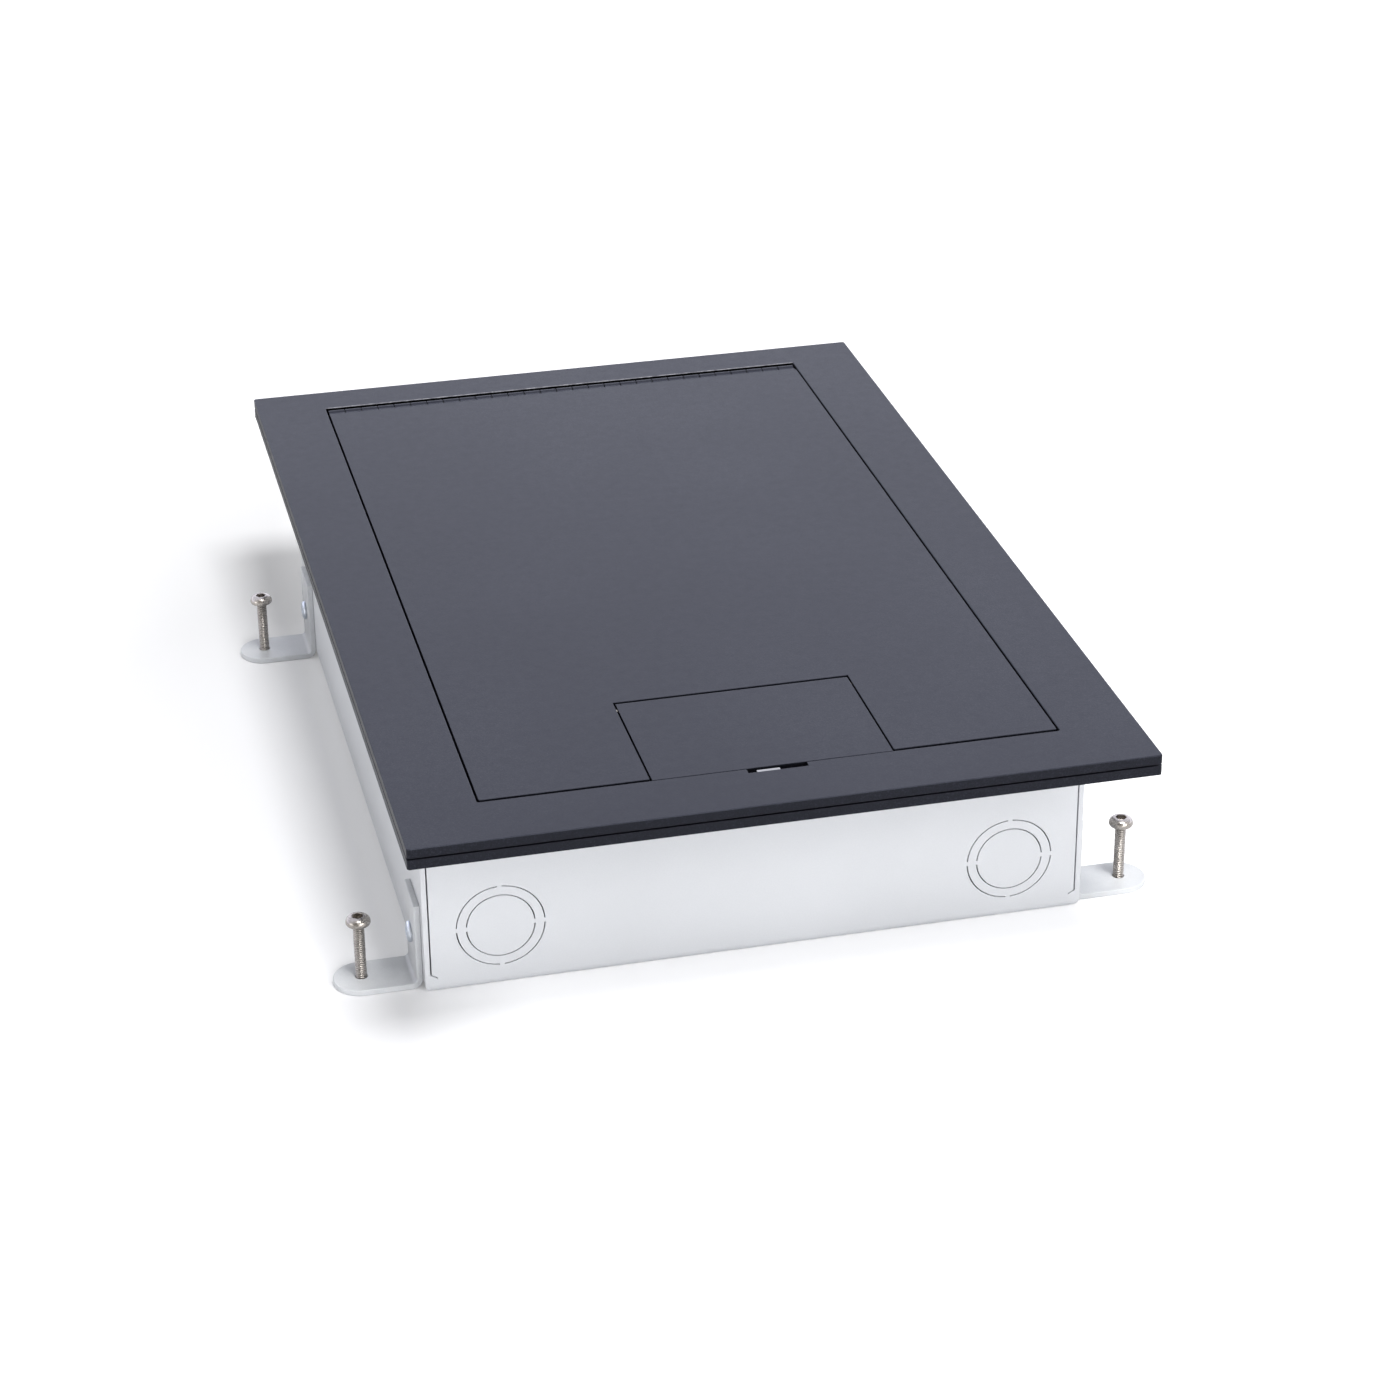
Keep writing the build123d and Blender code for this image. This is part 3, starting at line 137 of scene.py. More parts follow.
def addRamp(tree, source, stops):
    ramp = tree.nodes.new("ShaderNodeValToRGB")
    points = ramp.color_ramp.elements
    while len(points) < len(stops):
        points.new(0.5)
    for point, (place, color) in zip(points, stops):
        point.position = place
        point.color = (*color, 1.0)
    tree.links.new(source, ramp.inputs["Fac"])
    return ramp.outputs["Color"]


def addRange(tree, source, low, high, fromLow=0.0, fromHigh=1.0):
    node = tree.nodes.new("ShaderNodeMapRange")
    node.inputs["From Min"].default_value = fromLow
    node.inputs["From Max"].default_value = fromHigh
    node.inputs["To Min"].default_value = low
    node.inputs["To Max"].default_value = high
    tree.links.new(source, node.inputs["Value"])
    return node.outputs["Result"]


def addMath(tree, operation, first, second):
    node = tree.nodes.new("ShaderNodeMath")
    node.operation = operation
    for socket, value in zip(node.inputs, (first, second)):
        if isinstance(value, (int, float)):
            socket.default_value = value
        else:
            tree.links.new(value, socket)
    return node.outputs["Value"]


def addParts(tree, source):
    parts = tree.nodes.new("ShaderNodeSeparateXYZ")
    tree.links.new(source, parts.inputs["Vector"])
    return parts.outputs


# a node that works on several types names their sockets alike, so these are taken by number
colorFirst, colorSecond, colorMixed = 6, 7, 2
vectorFirst, vectorSecond, vectorMixed = 4, 5, 1
numberLow, numberHigh, numberDrawn = 2, 3, 1


def addColorMix(tree, factor, second, first=None):
    mix = tree.nodes.new("ShaderNodeMix")
    mix.data_type = "RGBA"
    tree.links.new(factor, mix.inputs["Factor"])
    if first is not None:
        tree.links.new(first, mix.inputs[colorFirst])
    tree.links.new(second, mix.inputs[colorSecond])
    return mix


def addShares(tree, first, second, share):        # share of the first, and the rest of the second
    part = addMath(tree, "MULTIPLY", first, share)
    rest = addMath(tree, "MULTIPLY", second, 1.0 - share)
    return addMath(tree, "ADD", part, rest)


def addTwoTones(tree, shader, source, settings):
    low, high = settings["stops"]
    color = addRamp(tree, source, [(low, settings["dark"]), (high, settings["light"])])
    tree.links.new(color, shader.inputs["Base Color"])


def addRoughness(tree, shader, source, settings, span=noiseSpan):
    low, high = settings["roughness"]
    tree.links.new(addRange(tree, source, low, high, *span), shader.inputs["Roughness"])


def addBump(tree, shader, height, settings):
    bump = tree.nodes.new("ShaderNodeBump")
    bump.inputs["Strength"].default_value = settings["bump"]
    bump.inputs["Distance"].default_value = settings["bumpDepth"]
    tree.links.new(height, bump.inputs["Height"])
    tree.links.new(bump.outputs["Normal"], shader.inputs["Normal"])


coverPaint = {
    # painted shade: the darkest tone, which faces that don't face up are pushed toward
    "edge": (0.0010, 0.0010, 0.0016),
    "dark": (0.0035, 0.0036, 0.0060),
    "light": (0.0085, 0.0088, 0.0130),
    "speck": (0.021, 0.022, 0.027),
    "stops": (0.22, 0.36, 0.55, 0.66),
    "specularTint": (0.74, 0.79, 1.0),
    "grain": 2400.0,          # fine sand of the powder, under half a millimetre
    "mottle": 260.0,
    "cloud": 9.0,
    "grainShare": 0.6,        # of the colour, the rest follows the cloud
    "edgeTurn": (0.3, 0.7),   # a face counts as an edge up to this upward part of its normal
    "paintedSideShade": 0.23,        # painted shade: faces that don't face up, such as the plates' cut edges and the slot's walls, are made darker, and they look sandy
    "edgeSand": 1.3,
    "roughness": (0.42, 0.46),
    "relief": (0.85, 0.12),   # grain and mottle
    "bump": 0.34,
    "bumpDepth": 0.00010,
    "ior": 1.38,
}


def makeCoverPaint(name, settings):
    material, tree, shader, place = startMaterial(name)
    grain = addNoise(tree, place, settings["grain"], fineNoise)
    mottle = addNoise(tree, place, settings["mottle"], streakNoise)
    cloud = addNoise(tree, place, settings["cloud"], softNoise)
    normal = addParts(tree, tree.nodes.new("ShaderNodeTexCoord").outputs["Normal"])
    flat = addMath(tree, "ABSOLUTE", normal["Z"], 0.0)
    # painted shade: the less a face looks up, the further its tone is shifted toward the dark edge tone
    sideShadeShift = addRange(tree, flat, settings["paintedSideShade"], 0.0, *settings["edgeTurn"])
    sandier = addRange(tree, flat, settings["edgeSand"], 0.0, *settings["edgeTurn"])
    mixed = addMath(tree, "SUBTRACT", addShares(tree, grain, cloud, settings["grainShare"]), sideShadeShift)
    sand = addMath(tree, "MULTIPLY", addMath(tree, "SUBTRACT", grain, noiseMiddle), sandier)
    colors = [settings[key] for key in ("edge", "dark", "light", "speck")]
    color = addRamp(tree, addMath(tree, "ADD", mixed, sand), list(zip(settings["stops"], colors)))
    tree.links.new(color, shader.inputs["Base Color"])
    addRoughness(tree, shader, mottle, settings)
    grainRelief, mottleRelief = settings["relief"]
    grainHeight = addMath(tree, "MULTIPLY", grain, grainRelief)
    mottleHeight = addMath(tree, "MULTIPLY", mottle, mottleRelief)
    addBump(tree, shader, addMath(tree, "ADD", grainHeight, mottleHeight), settings)
    shader.inputs["Specular Tint"].default_value = (*settings["specularTint"], 1.0)
    shader.inputs["IOR"].default_value = settings["ior"]
    return material


# painted light on the back wall of the trim's opening: painted shade in the gap behind the hinge, and a
# painted highlight along the arris above it
paintedArrisLight = {
    "back": (mm(163.55), mm(163.70), mm(164.05), mm(164.20)),   # the opening's back wall and its arris
    "side": (mm(92.0), mm(92.3)),
    "rise": (mm(76.60), mm(76.75)),          # painted shade in the gap below, a painted highlight on the arris above
    # colours of the painted shade in the gap and of the painted highlight, faint and bright
    "gap": (0.0012, 0.0012, 0.0016), "faintHighlight": (0.10, 0.10, 0.11), "bright": (0.29, 0.29, 0.31),
    "stops": (0.0, 0.35, 1.0),
    # noise that varies the painted highlight along the arris
    "highlightBreakup": 420.0, "highlightBreakupRange": (0.35, 1.0), "highlightBreakupSpan": (0.35, 0.60),
    "shine": (0.02, 0.5),
}


# paints shade into the gap behind the hinge and a highlight onto the arris above it
def addPaintedArrisLight(material, settings):
    tree = material.node_tree
    shader = tree.nodes["Principled BSDF"]
    paintColor = shader.inputs["Base Color"].links[0].from_socket
    place = tree.nodes.new("ShaderNodeTexCoord").outputs["Object"]
    parts = addParts(tree, place)
    first, full, last, end = settings["back"]
    alongY = addMath(tree, "MULTIPLY", addRange(tree, parts["Y"], 0.0, 1.0, first, full),
                     addRange(tree, parts["Y"], 1.0, 0.0, last, end))
    alongX = addRange(tree, addMath(tree, "ABSOLUTE", parts["X"], 0.0), 1.0, 0.0, *settings["side"])
    wall = addMath(tree, "MULTIPLY", alongY, alongX)
    rise = addRange(tree, parts["Z"], 0.0, 1.0, *settings["rise"])
    # noise that breaks up the painted highlight
    highlightBreakup = addNoise(tree, place, settings["highlightBreakup"], highlightBreakupNoise)
    highlightShare = addRange(tree, highlightBreakup, *settings["highlightBreakupRange"], *settings["highlightBreakupSpan"])
    arrisHighlight = addMath(tree, "MULTIPLY", rise, highlightShare)
    colors = [settings[key] for key in ("gap", "faintHighlight", "bright")]
    gapShadeAndHighlight = addRamp(tree, arrisHighlight, list(zip(settings["stops"], colors)))
    mix = addColorMix(tree, wall, gapShadeAndHighlight, paintColor)
    tree.links.new(mix.outputs[colorMixed], shader.inputs["Base Color"])
    dim, shine = settings["shine"]
    # painted shade: the gap loses its reflection
    inGap = addMath(tree, "MULTIPLY", wall, addMath(tree, "SUBTRACT", 1.0, rise))
    tree.links.new(addRange(tree, inGap, shine, dim), shader.inputs["Specular IOR Level"])


boxPaint = {
    "dark": (0.735, 0.750, 0.775),
    "light": (0.785, 0.800, 0.825),
    "stops": (0.35, 0.65),
    "peel": 420.0,            # orange peel, about two millimetres
    "cloud": 14.0,
    "cloudShare": 0.7,
    "fineRatio": 5.0,         # the fine noise is so many times finer than the peel
    "fineRelief": 0.35,
    "roughness": (0.34, 0.44),
    "bump": 0.10,
    "bumpDepth": 0.00012,
}

footPaint = {
    **boxPaint,
    "dark": (0.62, 0.635, 0.655),
    "light": (0.76, 0.775, 0.79),
    "peel": 950.0,            # pebbled powder, about a millimetre
    "cloud": 60.0,
    "roughness": (0.30, 0.42),
    "bump": 0.34,
    "bumpDepth": 0.00016,
}


def makeBoxPaint(name, settings):
    material, tree, shader, place = startMaterial(name)
    peel = addNoise(tree, place, settings["peel"], softNoise)
    cloud = addNoise(tree, place, settings["cloud"], cloudNoise)
    fine = addNoise(tree, place, settings["peel"] * settings["fineRatio"], softNoise)
    addTwoTones(tree, shader, addShares(tree, cloud, fine, settings["cloudShare"]), settings)
    addRoughness(tree, shader, cloud, settings)
    fineHeight = addMath(tree, "MULTIPLY", fine, settings["fineRelief"])
    addBump(tree, shader, addMath(tree, "ADD", peel, fineHeight), settings)
    return material


metalShared = {"stops": (0.34, 0.62), "streakShare": 0.5,
               "cloudRatio": 12.0}       # the tarnish is so many times wider than the streaks
metals = {
    "stainless": {"dark": (0.27, 0.25, 0.23), "light": (0.50, 0.465, 0.43), "roughness": (0.20, 0.34),
                  "scale": 900.0, "stretch": (1.0, 1.0, 5.0), "bump": 0.06, "bumpDepth": 0.00003},
    "zinc": {"dark": (0.50, 0.55, 0.62), "light": (0.74, 0.78, 0.84), "roughness": (0.28, 0.42),
             "scale": 700.0, "stretch": (1.0, 1.0, 1.0), "bump": 0.08, "bumpDepth": 0.00004},
    "brightTab": {"dark": (0.31, 0.305, 0.295), "light": (0.44, 0.435, 0.42), "roughness": (0.26, 0.38),
                  "scale": 800.0, "stretch": (0.4, 1.0, 1.0), "bump": 0.05, "bumpDepth": 0.00003},
    "brass": {"dark": (0.60, 0.42, 0.17), "light": (0.80, 0.62, 0.30), "roughness": (0.24, 0.38),
              "scale": 600.0, "stretch": (1.0, 1.0, 1.0), "bump": 0.06, "bumpDepth": 0.00003},
}


def makeMetal(name, settings):
    material, tree, shader, place = startMaterial(name)
    streak = addNoise(tree, place, settings["scale"], streakNoise, settings["stretch"])
    cloud = addNoise(tree, place, settings["scale"] / settings["cloudRatio"], cloudNoise)
    addTwoTones(tree, shader, addShares(tree, streak, cloud, settings["streakShare"]), settings)
    shader.inputs["Metallic"].default_value = 1.0
    addRoughness(tree, shader, streak, settings)
    addBump(tree, shader, streak, settings)
    return material


galvanised = {
    "colors": [(0.10, (0.47, 0.48, 0.49)), (0.45, (0.60, 0.61, 0.62)), (0.80, (0.72, 0.73, 0.74))],
    "spangle": 130.0,         # crystals of the zinc, about eight millimetres
    "spangleShare": 0.75,
    "warpScale": 208.0,
    "warp": 0.006,            # how far the crystals' borders wander
    "scratch": 900.0,
    "scratchStretch": (1.0, 8.0, 8.0),
    "metallic": 0.9,
    "roughness": (0.30, 0.48),
    "bump": 0.06,
    "bumpDepth": 0.00005,
}


def makeGalvanised(settings):
    material, tree, shader, place = startMaterial("galvanised")
    spangle = tree.nodes.new("ShaderNodeTexVoronoi")
    spangle.inputs["Scale"].default_value = settings["spangle"]
    warp = tree.nodes.new("ShaderNodeTexNoise")
    warp.inputs["Scale"].default_value = settings["warpScale"]
    tree.links.new(place, warp.inputs["Vector"])
    blend = tree.nodes.new("ShaderNodeMix")
    blend.data_type = "VECTOR"
    blend.inputs["Factor"].default_value = settings["warp"]
    tree.links.new(place, blend.inputs[vectorFirst])
    tree.links.new(warp.outputs["Color"], blend.inputs[vectorSecond])
    tree.links.new(blend.outputs[vectorMixed], spangle.inputs["Vector"])
    split = tree.nodes.new("ShaderNodeSeparateColor")
    tree.links.new(spangle.outputs["Color"], split.inputs["Color"])
    scratch = addNoise(tree, place, settings["scratch"], fineNoise, settings["scratchStretch"])
    mixed = addShares(tree, split.outputs["Red"], scratch, settings["spangleShare"])
    tree.links.new(addRamp(tree, mixed, settings["colors"]), shader.inputs["Base Color"])
    shader.inputs["Metallic"].default_value = settings["metallic"]
    addRoughness(tree, shader, split.outputs["Green"], settings, (0.0, 1.0))
    addBump(tree, shader, scratch, settings)
    return material


plasticShared = {"stops": (0.35, 0.65), "poreShare": 0.4, "cloudRatio": 40.0}
plastics = {
    "rubber": {"dark": (0.006, 0.006, 0.007), "light": (0.020, 0.020, 0.022), "pore": 2400.0,
               "roughness": (0.62, 0.82), "bump": 0.3, "bumpDepth": 0.00006},
    "receptaclePlastic": {"dark": (0.030, 0.030, 0.032), "light": (0.045, 0.045, 0.048), "pore": 1500.0,
                          "roughness": (0.26, 0.36), "bump": 0.10, "bumpDepth": 0.00004},
    "basePlastic": {"dark": (0.56, 0.54, 0.47), "light": (0.66, 0.64, 0.57), "pore": 1300.0,
                    "roughness": (0.42, 0.55), "bump": 0.14, "bumpDepth": 0.00005},
    "jackPlastic": {"dark": (0.70, 0.70, 0.67), "light": (0.78, 0.78, 0.75), "pore": 1500.0,
                    "roughness": (0.34, 0.46), "bump": 0.12, "bumpDepth": 0.00004},
    "greenPaint": {"dark": (0.020, 0.17, 0.055), "light": (0.035, 0.26, 0.085), "pore": 1100.0,
                   "roughness": (0.26, 0.38), "bump": 0.12, "bumpDepth": 0.00004},
}


def makePlastic(name, settings):
    material, tree, shader, place = startMaterial(name)
    pore = addNoise(tree, place, settings["pore"], fineNoise)
    cloud = addNoise(tree, place, settings["pore"] / settings["cloudRatio"], softNoise)
    addTwoTones(tree, shader, addShares(tree, pore, cloud, settings["poreShare"]), settings)
    addRoughness(tree, shader, pore, settings)
    addBump(tree, shader, pore, settings)
    return material


finishes = {
    "coverPaint": makeCoverPaint("coverPaint", coverPaint),
    "trimPaint": makeCoverPaint("trimPaint", coverPaint),
    "boxPaint": makeBoxPaint("boxPaint", boxPaint),
    "footPaint": makeBoxPaint("footPaint", footPaint),
    "galvanised": makeGalvanised(galvanised),
}
# the trim's paint gets painted shade in the gap and a painted highlight on the arris behind the hinge
addPaintedArrisLight(finishes["trimPaint"], paintedArrisLight)
for name, settings in metals.items():
    finishes[name] = makeMetal(name, {**metalShared, **settings})
for name, settings in plastics.items():
    finishes[name] = makePlastic(name, {**plasticShared, **settings})
print("materials made:", len(finishes))


innerSheets = ["device_bracket", "wiring_divider", "rear_angle", "compartment_cover",
               "power_plate", "data_plate"]
feet = ["leveling_foot_" + corner for corner in corners]
nodeFinishes = {
    "coverPaint": ["support_plate", "lid_plate", "cable_flap", "hinge_frame_leaf", "hinge_lid_leaf"],
    "trimPaint": ["trim_plate"],
    "boxPaint": ["box_body"],
    "footPaint": feet,
    "rubber": ["cover_gasket", "lid_seal"],
    "galvanised": innerSheets,
    "stainless": ["hinge_pin", "flap_pivot_pins", "hinge_lid_rivets", "hinge_frame_rivets"]
    + ["leveling_screw_" + corner for corner in corners],
    "zinc": ["cover_screws", "trim_screws", "foot_screws", "foot_nuts", "stud_nuts", "compartment_screws",
             "plate_screws", "strap_screws", "receptacle_strap"],
    "brightTab": ["latch_slider", "flap_hook"],
    "brass": ["receptacle_contacts", "terminal_screws", "jack_wires"],
    "receptaclePlastic": ["receptacle_front"],
    "basePlastic": ["receptacle_base"],
    "jackPlastic": ["data_jacks"],
    "greenPaint": ["ground_screw", "ground_terminal"],
}


def paint(piece, finish):
    piece.data.materials.clear()
    piece.data.materials.append(finishes[finish])


for finish, names in nodeFinishes.items():
    for name in names:
        paint(nodes[name], finish)
print("CAD pieces painted")


ringSides = 48
cornerClear = 0.03            # a ring's even corners make room for the recess's own, in radians
tiny = 1e-6


def ringRadius(shape, size, angle):
    if shape == "hex":        # size is across flats
        return size / 2 / math.cos((angle % (math.pi / 3)) - math.pi / 6)
    if shape == "round":
        return size
    arm, half = size          # arm length and half its width
    arc = math.pi / 2 if shape == "cross" else math.pi        # a cross has four arms and a slot two
    part = abs(((angle + arc / 2) % arc) - arc / 2)
    return min(arm / max(math.cos(part), tiny), half / max(math.sin(part), tiny))


def ringAngles(drive):
    whole = 2 * math.pi
    angles = [whole * i / ringSides for i in range(ringSides)]
    if drive:
        shape, (arm, half) = drive
        turns = 4 if shape == "cross" else 2
        corner = math.atan2(half, arm)
        extra = []
        for turn in range(turns):
            base = whole * turn / turns
            extra += [base + corner, base - corner]
        spare = [a for a in angles if all(abs(a - e % whole) > cornerClear for e in extra)]
        angles = sorted(spare + [e % whole for e in extra])
    return angles


def turnedMesh(name, rings, drive=None):
    angles = ringAngles(drive)
    bm = bmesh.new()
    rows = []
    for shape, size, height in rings:
        radii = [ringRadius(shape, size, a) for a in angles]
        rows.append([bm.verts.new((r * math.cos(a), r * math.sin(a), height)) for r, a in zip(radii, angles)])
    count = len(angles)
    for low, high in zip(rows, rows[1:]):
        for i in range(count):
            j = (i + 1) % count
            bm.faces.new((low[i], low[j], high[j], high[i]))
    bm.faces.new(list(reversed(rows[0])))
    bm.faces.new(rows[-1])
    bmesh.ops.recalc_face_normals(bm, faces=bm.faces)
    return smoothMeshFrom(bm, name)


def startTree(name, inputs, output):
    tree = bpy.data.node_groups.new(name, "GeometryNodeTree")
    for socket, kind in inputs.items():
        tree.interface.new_socket(socket, in_out="INPUT", socket_type="NodeSocket" + kind)
    tree.interface.new_socket(output, in_out="OUTPUT", socket_type="NodeSocketGeometry")
    return tree


def finishTree(tree, geometry, given, output):
    real = tree.nodes.new("GeometryNodeRealizeInstances")
    tree.links.new(geometry, real.inputs["Geometry"])
    finish = tree.nodes.new("GeometryNodeSetMaterial")
    tree.links.new(real.outputs["Geometry"], finish.inputs["Geometry"])
    tree.links.new(given.outputs["Finish"], finish.inputs["Material"])
    tree.links.new(finish.outputs["Geometry"], tree.nodes.new("NodeGroupOutput").inputs[output])


def growMesh(carrier, tree, inputs):        # the tree's result as a plain mesh
    modifier = carrier.modifiers.new("grow", "NODES")
    modifier.node_group = tree
    for socket in tree.interface.items_tree:
        if socket.item_type == "SOCKET" and socket.in_out == "INPUT" and socket.name in inputs:
            modifier[socket.identifier] = inputs[socket.name]
    bpy.context.view_layer.update()
    mesh = bpy.data.meshes.new_from_object(carrier.evaluated_get(bpy.context.evaluated_depsgraph_get()))
    bpy.data.objects.remove(carrier)
    return mesh


def finishPiece(piece, body, node):
    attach(piece, body)
    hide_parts(node)


screwLook = {
    "coreSides": 24,
    "turnSteps": 20,
    "profileSides": 3,
    "profileSize": 0.577,     # radius of the thread's profile for a pitch of one
    "threadLift": 0.55,       # the thread starts this share of the pitch above the tip
    "runOut": 0.6,            # and ends this share of it below the head
    "depthShare": 0.18,       # of the shank's radius, where no depth is given
}


def makeScrewTree(settings):
    tree = startTree("screwTree", {
        "Places": "Geometry", "Head": "Object", "Shank Radius": "Float", "Thread Depth": "Float",
        "Pitch": "Float", "Shank Length": "Float", "Thread Length": "Float", "Turn Seed": "Int",
        "Finish": "Material"}, "Screws")
    add = tree.nodes.new
    link = tree.links.new
    given = add("NodeGroupInput")
    shankRadius, pitch = given.outputs["Shank Radius"], given.outputs["Pitch"]
    shankLength, threadLength = given.outputs["Shank Length"], given.outputs["Thread Length"]

    core = add("GeometryNodeMeshCylinder")
    core.inputs["Vertices"].default_value = settings["coreSides"]
    link(addMath(tree, "SUBTRACT", shankRadius, given.outputs["Thread Depth"]), core.inputs["Radius"])
    link(shankLength, core.inputs["Depth"])
    coreShift = add("ShaderNodeCombineXYZ")
    link(addMath(tree, "MULTIPLY", shankLength, -0.5), coreShift.inputs["Z"])
    placedCore = add("GeometryNodeTransform")
    link(core.outputs["Mesh"], placedCore.inputs["Geometry"])
    link(coreShift.outputs[0], placedCore.inputs["Translation"])

    profileSize = addMath(tree, "MULTIPLY", pitch, settings["profileSize"])
    spiralRadius = addMath(tree, "SUBTRACT", shankRadius, profileSize)
    spiral = add("GeometryNodeCurveSpiral")
    spiral.inputs["Resolution"].default_value = settings["turnSteps"]
    link(addMath(tree, "DIVIDE", threadLength, pitch), spiral.inputs["Rotations"])
    link(spiralRadius, spiral.inputs["Start Radius"])
    link(spiralRadius, spiral.inputs["End Radius"])
    link(threadLength, spiral.inputs["Height"])
    upright = add("GeometryNodeSetCurveNormal")
    upright.mode = "Z_UP"
    link(spiral.outputs["Curve"], upright.inputs["Curve"])
    profile = add("GeometryNodeCurvePrimitiveCircle")
    profile.inputs["Resolution"].default_value = settings["profileSides"]
    link(profileSize, profile.inputs["Radius"])
    thread = add("GeometryNodeCurveToMesh")
    thread.inputs["Fill Caps"].default_value = True
    link(upright.outputs["Curve"], thread.inputs["Curve"])
    link(profile.outputs["Curve"], thread.inputs["Profile Curve"])
    threadShift = add("ShaderNodeCombineXYZ")
    tip = addMath(tree, "MULTIPLY", shankLength, -1.0)
    lift = addMath(tree, "MULTIPLY", pitch, settings["threadLift"])
    link(addMath(tree, "ADD", tip, lift), threadShift.inputs["Z"])
    placedThread = add("GeometryNodeTransform")
    link(thread.outputs["Mesh"], placedThread.inputs["Geometry"])
    link(threadShift.outputs[0], placedThread.inputs["Translation"])

    head = add("GeometryNodeObjectInfo")
    link(given.outputs["Head"], head.inputs["Object"])
    screw = add("GeometryNodeJoinGeometry")
    for part in (placedCore.outputs["Geometry"], placedThread.outputs["Geometry"], head.outputs["Geometry"]):
        link(part, screw.inputs["Geometry"])

    aim = add("GeometryNodeInputNamedAttribute")
    aim.data_type = "FLOAT_VECTOR"
    aim.inputs["Name"].default_value = "aim"
    facing = add("FunctionNodeAlignRotationToVector")
    facing.axis = "Z"
    link(aim.outputs["Attribute"], facing.inputs["Vector"])
    spin = add("FunctionNodeRandomValue")
    spin.data_type = "FLOAT"
    spin.inputs[numberLow].default_value = 0.0
    spin.inputs[numberHigh].default_value = 2 * math.pi
    link(given.outputs["Turn Seed"], spin.inputs["Seed"])
    spinTurn = add("FunctionNodeAxisAngleToRotation")
    spinTurn.inputs["Axis"].default_value = (0, 0, 1)
    link(spin.outputs[numberDrawn], spinTurn.inputs["Angle"])
    turned = add("FunctionNodeRotateRotation")
    turned.rotation_space = "LOCAL"
    link(facing.outputs["Rotation"], turned.inputs["Rotation"])
    link(spinTurn.outputs["Rotation"], turned.inputs["Rotate By"])
    placed = add("GeometryNodeInstanceOnPoints")
    link(given.outputs["Places"], placed.inputs["Points"])
    link(screw.outputs["Geometry"], placed.inputs["Instance"])
    link(turned.outputs["Rotation"], placed.inputs["Rotation"])
    finishTree(tree, placed.outputs["Instances"], given, "Screws")
    return tree


def growScrews(name, places, head, settings, shankLength, threadLength, depth, seed):
    carrier = addObject(name + "Places", bpy.data.meshes.new(name + "Places"))
    carrier.data.from_pydata([tuple(place) for place, aim in places], [], [])
    attribute = carrier.data.attributes.new("aim", "FLOAT_VECTOR", "POINT")
    for item, (place, aim) in zip(attribute.data, places):
        item.vector = aim
    mesh = growMesh(carrier, screwTree, {
        "Head": head, "Shank Radius": settings["shank"], "Thread Depth": depth, "Pitch": settings["pitch"],
        "Shank Length": shankLength, "Thread Length": threadLength, "Turn Seed": seed,
        "Finish": finishes[settings["finish"]]})
    mesh.name = name
    return addObject(name, mesh)


def looseBoxes(node):         # the box round each loose part of a CAD mesh
    bm = mergedCopy(node)
    seen = set()
    boxes = []
    for start in bm.verts:
        if start in seen:
            continue
        seen.add(start)
        stack = [start]
        points = []
        while stack:
            vert = stack.pop()
            points.append(vert.co.copy())
            for edge in vert.link_edges:
                other = edge.other_vert(vert)
                if other not in seen:
                    seen.add(other)
                    stack.append(other)
        low = Vector([min(p[i] for p in points) for i in range(3)])
        high = Vector([max(p[i] for p in points) for i in range(3)])
        boxes.append((low, high))
    bm.free()
    return sorted(boxes, key=lambda box: tuple(round(v, sortDigits) for v in box[0]))


screwTree = makeScrewTree(screwLook)

levelingScrews = {
    "radius": mm(4.0), "height": mm(3.1), "wall": mm(1.0), "socket": mm(3.2), "socketDepth": mm(1.7),
    "foot": mm(1.0), "fillet": mm(0.95), "filletSteps": 6, "domeSteps": 8,
    "rim": mm(0.12), "mouth": mm(0.10), "mouthFall": mm(0.02), "lipFall": mm(0.14),       # round the socket
    "tipRadius": mm(0.5), "tipDepth": mm(0.35),       # the drill's point below the socket
    "shank": mm(2.0), "threadDepth": mm(0.40), "pitch": mm(0.7), "seeds": (3, 11, 5, 8),
    "finish": "stainless",
}


def domeRings(radius, edge, rim, height, steps):        # a quarter of an oval, from the edge up to the rim
    rings = []
    for step in range(1, steps):
        turn = math.radians(90 * step / steps)
        across = rim + (radius - rim) * math.cos(turn)
        rings.append(("round", across, edge + (height - edge) * math.sin(turn)))
    return rings


def socketHeadRings(look):
    radius, height, wall, fillet = look["radius"], look["height"], look["wall"], look["fillet"]
    socket = look["socket"]
    rim = socket / 2 / math.cos(math.pi / 6)
    rings = [("round", look["foot"], 0.0), ("round", radius - fillet, 0.0)]
    for step in range(1, look["filletSteps"]):
        turn = math.radians(90 * step / look["filletSteps"])
        rings.append(("round", radius - fillet * (1 - math.sin(turn)), wall * (1 - math.cos(turn))))
    rings.append(("round", radius, wall))
    rings += domeRings(radius, wall, rim, height, look["domeSteps"])
    floor = height - look["socketDepth"]
    return rings + [("round", rim + look["rim"], height),
                    ("hex", socket + look["mouth"], height - look["mouthFall"]),
                    ("hex", socket, height - look["lipFall"]), ("hex", socket, floor),
                    ("round", look["tipRadius"], floor - look["tipDepth"])]


headLook = {
    "hub": 0.3, "foot": 0.95, "footRise": 0.08,      # the underside of a pan head, in shares of its sizes
    "domeSteps": 6,
    "neck": 0.7,                                     # the underside of a flat head
    "chamfer": mm(0.1), "chamferFall": mm(0.15), "rimFall": mm(0.08),
    "rim": 1.06, "lip": 0.05, "taper": 0.62,         # the recess's rim, its lip and how a cross narrows
}


def recessRings(drive, top, depth):
    shape, (arm, half) = drive
    taper = headLook["taper"] if shape == "cross" else 1.0
    return [("round", arm * headLook["rim"], top), (shape, (arm, half), top - depth * headLook["lip"]),
            (shape, (arm * taper, half * taper), top - depth)]


